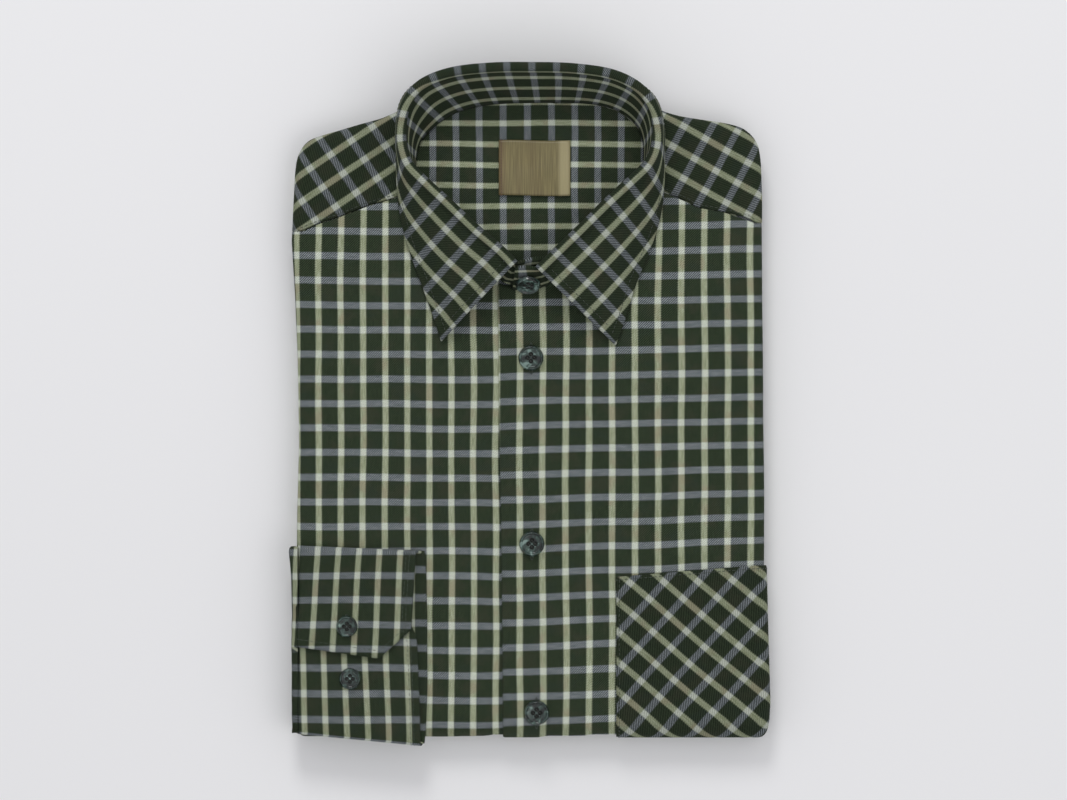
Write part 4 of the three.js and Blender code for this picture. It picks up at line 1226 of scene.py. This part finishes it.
# Stitches: one node tree lays slightly uneven stitches along a line
def stitch_tree():
    tree = bpy.data.node_groups.new("Stitches along a line", "GeometryNodeTree")
    face = tree.interface
    face.new_socket("Line", in_out="INPUT", socket_type="NodeSocketGeometry")
    for name, kind in (
        ("Pitch", "NodeSocketFloat"), ("Length", "NodeSocketFloat"), ("Radius", "NodeSocketFloat"),
        ("Unevenness", "NodeSocketFloat"), ("Seed", "NodeSocketInt"), ("Thread", "NodeSocketMaterial"),
    ):
        face.new_socket(name, in_out="INPUT", socket_type=kind)
    face.new_socket("Stitches", in_out="OUTPUT", socket_type="NodeSocketGeometry")

    def add(kind, settings=None, **inputs):
        return add_node(tree, kind, settings, **inputs)

    given = add("NodeGroupInput").outputs
    curve = add("GeometryNodeMeshToCurve", Mesh=given["Line"])
    by_length = {"mode": "LENGTH"}
    spots = add("GeometryNodeCurveToPoints", by_length, Curve=curve.outputs[0], Length=given["Pitch"])
    grain = add("GeometryNodeMeshUVSphere", Segments=8, Rings=6, Radius=1.0)
    low = add("ShaderNodeMath", {"operation": "MULTIPLY"}, i0=given["Unevenness"], i1=-1.0)
    tilt = add("FunctionNodeRandomValue", {"data_type": "FLOAT"}, Seed=given["Seed"])
    floats = [socket for socket in tilt.inputs if socket.type == "VALUE"]
    tree.links.new(low.outputs[0], floats[0])
    tree.links.new(given["Unevenness"], floats[1])
    value = [socket for socket in tilt.outputs if socket.type == "VALUE"][0]
    axes = add("ShaderNodeCombineXYZ", X=value, Y=value)
    bend = add("FunctionNodeEulerToRotation", Euler=axes.outputs[0])
    turned = add(
        "FunctionNodeRotateRotation", {"rotation_space": "LOCAL"},
        i0=spots.outputs["Rotation"], i1=bend.outputs[0],
    )
    size = add("ShaderNodeCombineXYZ", X=given["Radius"], Y=given["Radius"], Z=given["Length"])
    laid = add(
        "GeometryNodeInstanceOnPoints",
        Points=spots.outputs["Points"], Instance=grain.outputs["Mesh"],
        Rotation=turned.outputs[0], Scale=size.outputs[0],
    )
    real = add("GeometryNodeRealizeInstances", Geometry=laid.outputs[0])
    soft = add("GeometryNodeSetShadeSmooth", Geometry=real.outputs[0])
    coloured = add("GeometryNodeSetMaterial", Geometry=soft.outputs[0], Material=given["Thread"])
    add("NodeGroupOutput", Stitches=coloured.outputs[0])
    return tree


stitches = stitch_tree()


def stitch_run(name, line, material, pitch=2.6, radius=0.17, length=0.95, seed=1, uneven=0.1):
    """A row of stitches along a line of points, as a plain mesh."""
    mesh = bpy.data.meshes.new(name + "_line")
    mesh.from_pydata([p * MM for p in line], [(i, i + 1) for i in range(len(line) - 1)], [])
    guide = bpy.data.objects.new(name, mesh)
    bpy.context.scene.collection.objects.link(guide)
    modifier = guide.modifiers.new("Stitches", "NODES")
    modifier.node_group = stitches
    given = {"Pitch": pitch * MM, "Length": length * MM, "Radius": radius * MM, "Unevenness": uneven,
             "Seed": seed, "Thread": material}
    for item in stitches.interface.items_tree:
        if item.in_out == "INPUT" and item.name in given:
            modifier[item.identifier] = given[item.name]
    bpy.context.view_layer.update()
    graph = bpy.context.evaluated_depsgraph_get()
    made = bpy.data.meshes.new_from_object(guide.evaluated_get(graph))
    guide.modifiers.clear()
    guide.data = made
    return guide


def inside_edge(grid, side, distance, lift):
    """A line on a piece, a distance in from one edge of its grid and a little above the cloth."""
    raised = offset(grid, lift)
    if side in ("last row", "first row"):
        lines = [list(line) for line in zip(*raised)]
    else:
        lines = raised
    if side.startswith("last"):
        lines = [list(reversed(line)) for line in lines]
    found = []
    for line in lines:
        run = distances(line)
        k = 1
        while k < len(line) - 1 and run[k] < distance:
            k += 1
        share = min(1.0, max(0.0, (distance - run[k - 1]) / max(1e-6, run[k] - run[k - 1])))
        found.append(line[k - 1].lerp(line[k], share))
    return found


def buttonhole(name, grid, button, seed):
    """Close stitches round a slit that runs under its button, laid on the cloth."""
    face = [p for row in grid for p in row if p.z > 14]
    reach = button["diameter"] / 2 + 1.6
    ring = []
    for k in range(49):
        turn = 2 * math.pi * k / 48
        x = button["x"] + 1.1 * math.sin(turn)
        y = button["y"] - 0.4 + reach * math.cos(turn)
        near = min(face, key=lambda p: (p.x - x) ** 2 + (p.y - y) ** 2)
        ring.append(Vector((x, y, near.z + 0.12)))
    return stitch_run(name, ring, green_thread, pitch=0.42, radius=0.2, length=0.42, seed=seed, uneven=0.5)


edge_seams = table("name grid edge distance lift first last seed", [
    ("cuff_stitches_outer", cuff_grid, "first column", 3.6, 0.1, 0, None, 3),
    ("cuff_stitches_inner", cuff_grid, "first column", 5.4, 0.1, 0, None, 4),
    ("cuff_end_stitches", cuff_grid, "first row", 4.2, 0.1, 0, None, 5),
    ("pocket_stitches", pocket_grid, "first row", 1.6, -0.1, 0, None, 6),
    ("pocket_hem_stitches", pocket_grid, "first column", 1.8, -0.1, 0, None, 7),
    ("yoke_stitches", yoke_grid, "first row", 1.7, 0.1, 0, None, 8),
    ("collar_edge_stitches", leaf_grid, "last row", 5.0, -0.1, 3, -3, 9),
    ("collar_front_stitches", leaf_grid, "first column", 5.0, -0.1, 9, -5, 10),
    ("collar_far_stitches", leaf_grid, "last column", 5.0, -0.1, 9, -5, 11),
])
seams = []
for row in edge_seams:
    line = inside_edge(row["grid"], row["edge"], row["distance"], row["lift"])[row["first"]:row["last"]]
    seams.append(stitch_run(row["name"], line, green_thread, seed=row["seed"]))
label_line = inside_edge(label_grid, "first column", 1.3, 0.12)
seams.append(stitch_run("label_stitches", label_line, brown_thread, 1.5, 0.24, 0.6, 12))
for k, row in enumerate(buttons[1:4]):
    seams.append(buttonhole("front_buttonhole", left_grid, row, 20 + k))
seams.append(buttonhole("cuff_buttonhole", cuff_grid, buttons[4], 30))
for extra in threads + seams:
    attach(extra, "root")


cuts = [
    (front_left, (0.175, 0.62), ["hidden_layers", "right_front"]),
    (front_right, (0.160, 0.62), ["hidden_layers"]),
    (layers, (0.275, 0.66), ["left_front", "right_front"]),
    (yoke, (0.330, 0.135), ["left_front", "right_front"]),
    (lining, (0.124, 0.095), ["hidden_layers"]),
    (label, (0.0385, 0.0297), ["yoke_lining"]),
    (stand, (0.46, 0.036), ["yoke"]),
    (leaf, (0.56, 0.075), ["collar_stand", "left_front"]),
    (pocket, (0.096, 0.165), ["left_front"]),
    (cuff, (0.245, 0.072), ["right_front"]),
    (sleeve, (0.101, 0.014), ["right_cuff"]),
]
for piece, flat, rests_on in cuts:
    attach(piece, "root")


# Paper sweep, light and camera
def plane(name, size, z, material):
    h = size / 2 / MM
    points = [Vector(p) for p in ((-h, -h, z), (h, -h, z), (h, h, z), (-h, h, z))]
    return make_mesh(name, points, [(0, 1, 2, 3)], None, material)


floor = plane("paper_sweep", 9.0, -0.3, studio_floor())

world = bpy.data.worlds.new("Soft studio")
world.use_nodes = True
world.node_tree.nodes["Background"].inputs["Color"].default_value = colour("#fbfbff")
world.node_tree.nodes["Background"].inputs["Strength"].default_value = 0.62
bpy.context.scene.world = world


def area_light(name, place, aim, size, power):
    data = bpy.data.lights.new(name, "AREA")
    data.shape = "DISK"
    data.size = size
    data.energy = power
    lamp = bpy.data.objects.new(name, data)
    lamp.location = place
    lamp.rotation_euler = (Vector(aim) - Vector(place)).to_track_quat("-Z", "Y").to_euler()
    bpy.context.scene.collection.objects.link(lamp)


area_light("Key softbox", (-0.25, 1.7, 1.5), (0, 0, 0), 0.8, 15)
area_light("Fill softbox", (0.9, -0.7, 1.9), (0, 0, 0), 1.6, 5)

camera_data = bpy.data.cameras.new("Camera")
camera_data.lens = 250
camera_data.sensor_width = 36
camera = bpy.data.objects.new("Camera", camera_data)
camera.location = (0.00216, 0.00243, 4.0)
bpy.context.scene.collection.objects.link(camera)
bpy.context.scene.camera = camera
bpy.context.scene.view_settings.view_transform = "Standard"

# The box round all the pieces, threads and stitches
low = Vector((1e9, 1e9, 1e9))
high = -low
for piece in [entry[0] for entry in cuts] + threads + seams:
    for vertex in piece.data.vertices:
        for k in range(3):
            low[k] = min(low[k], vertex.co[k])
            high[k] = max(high[k], vertex.co[k])
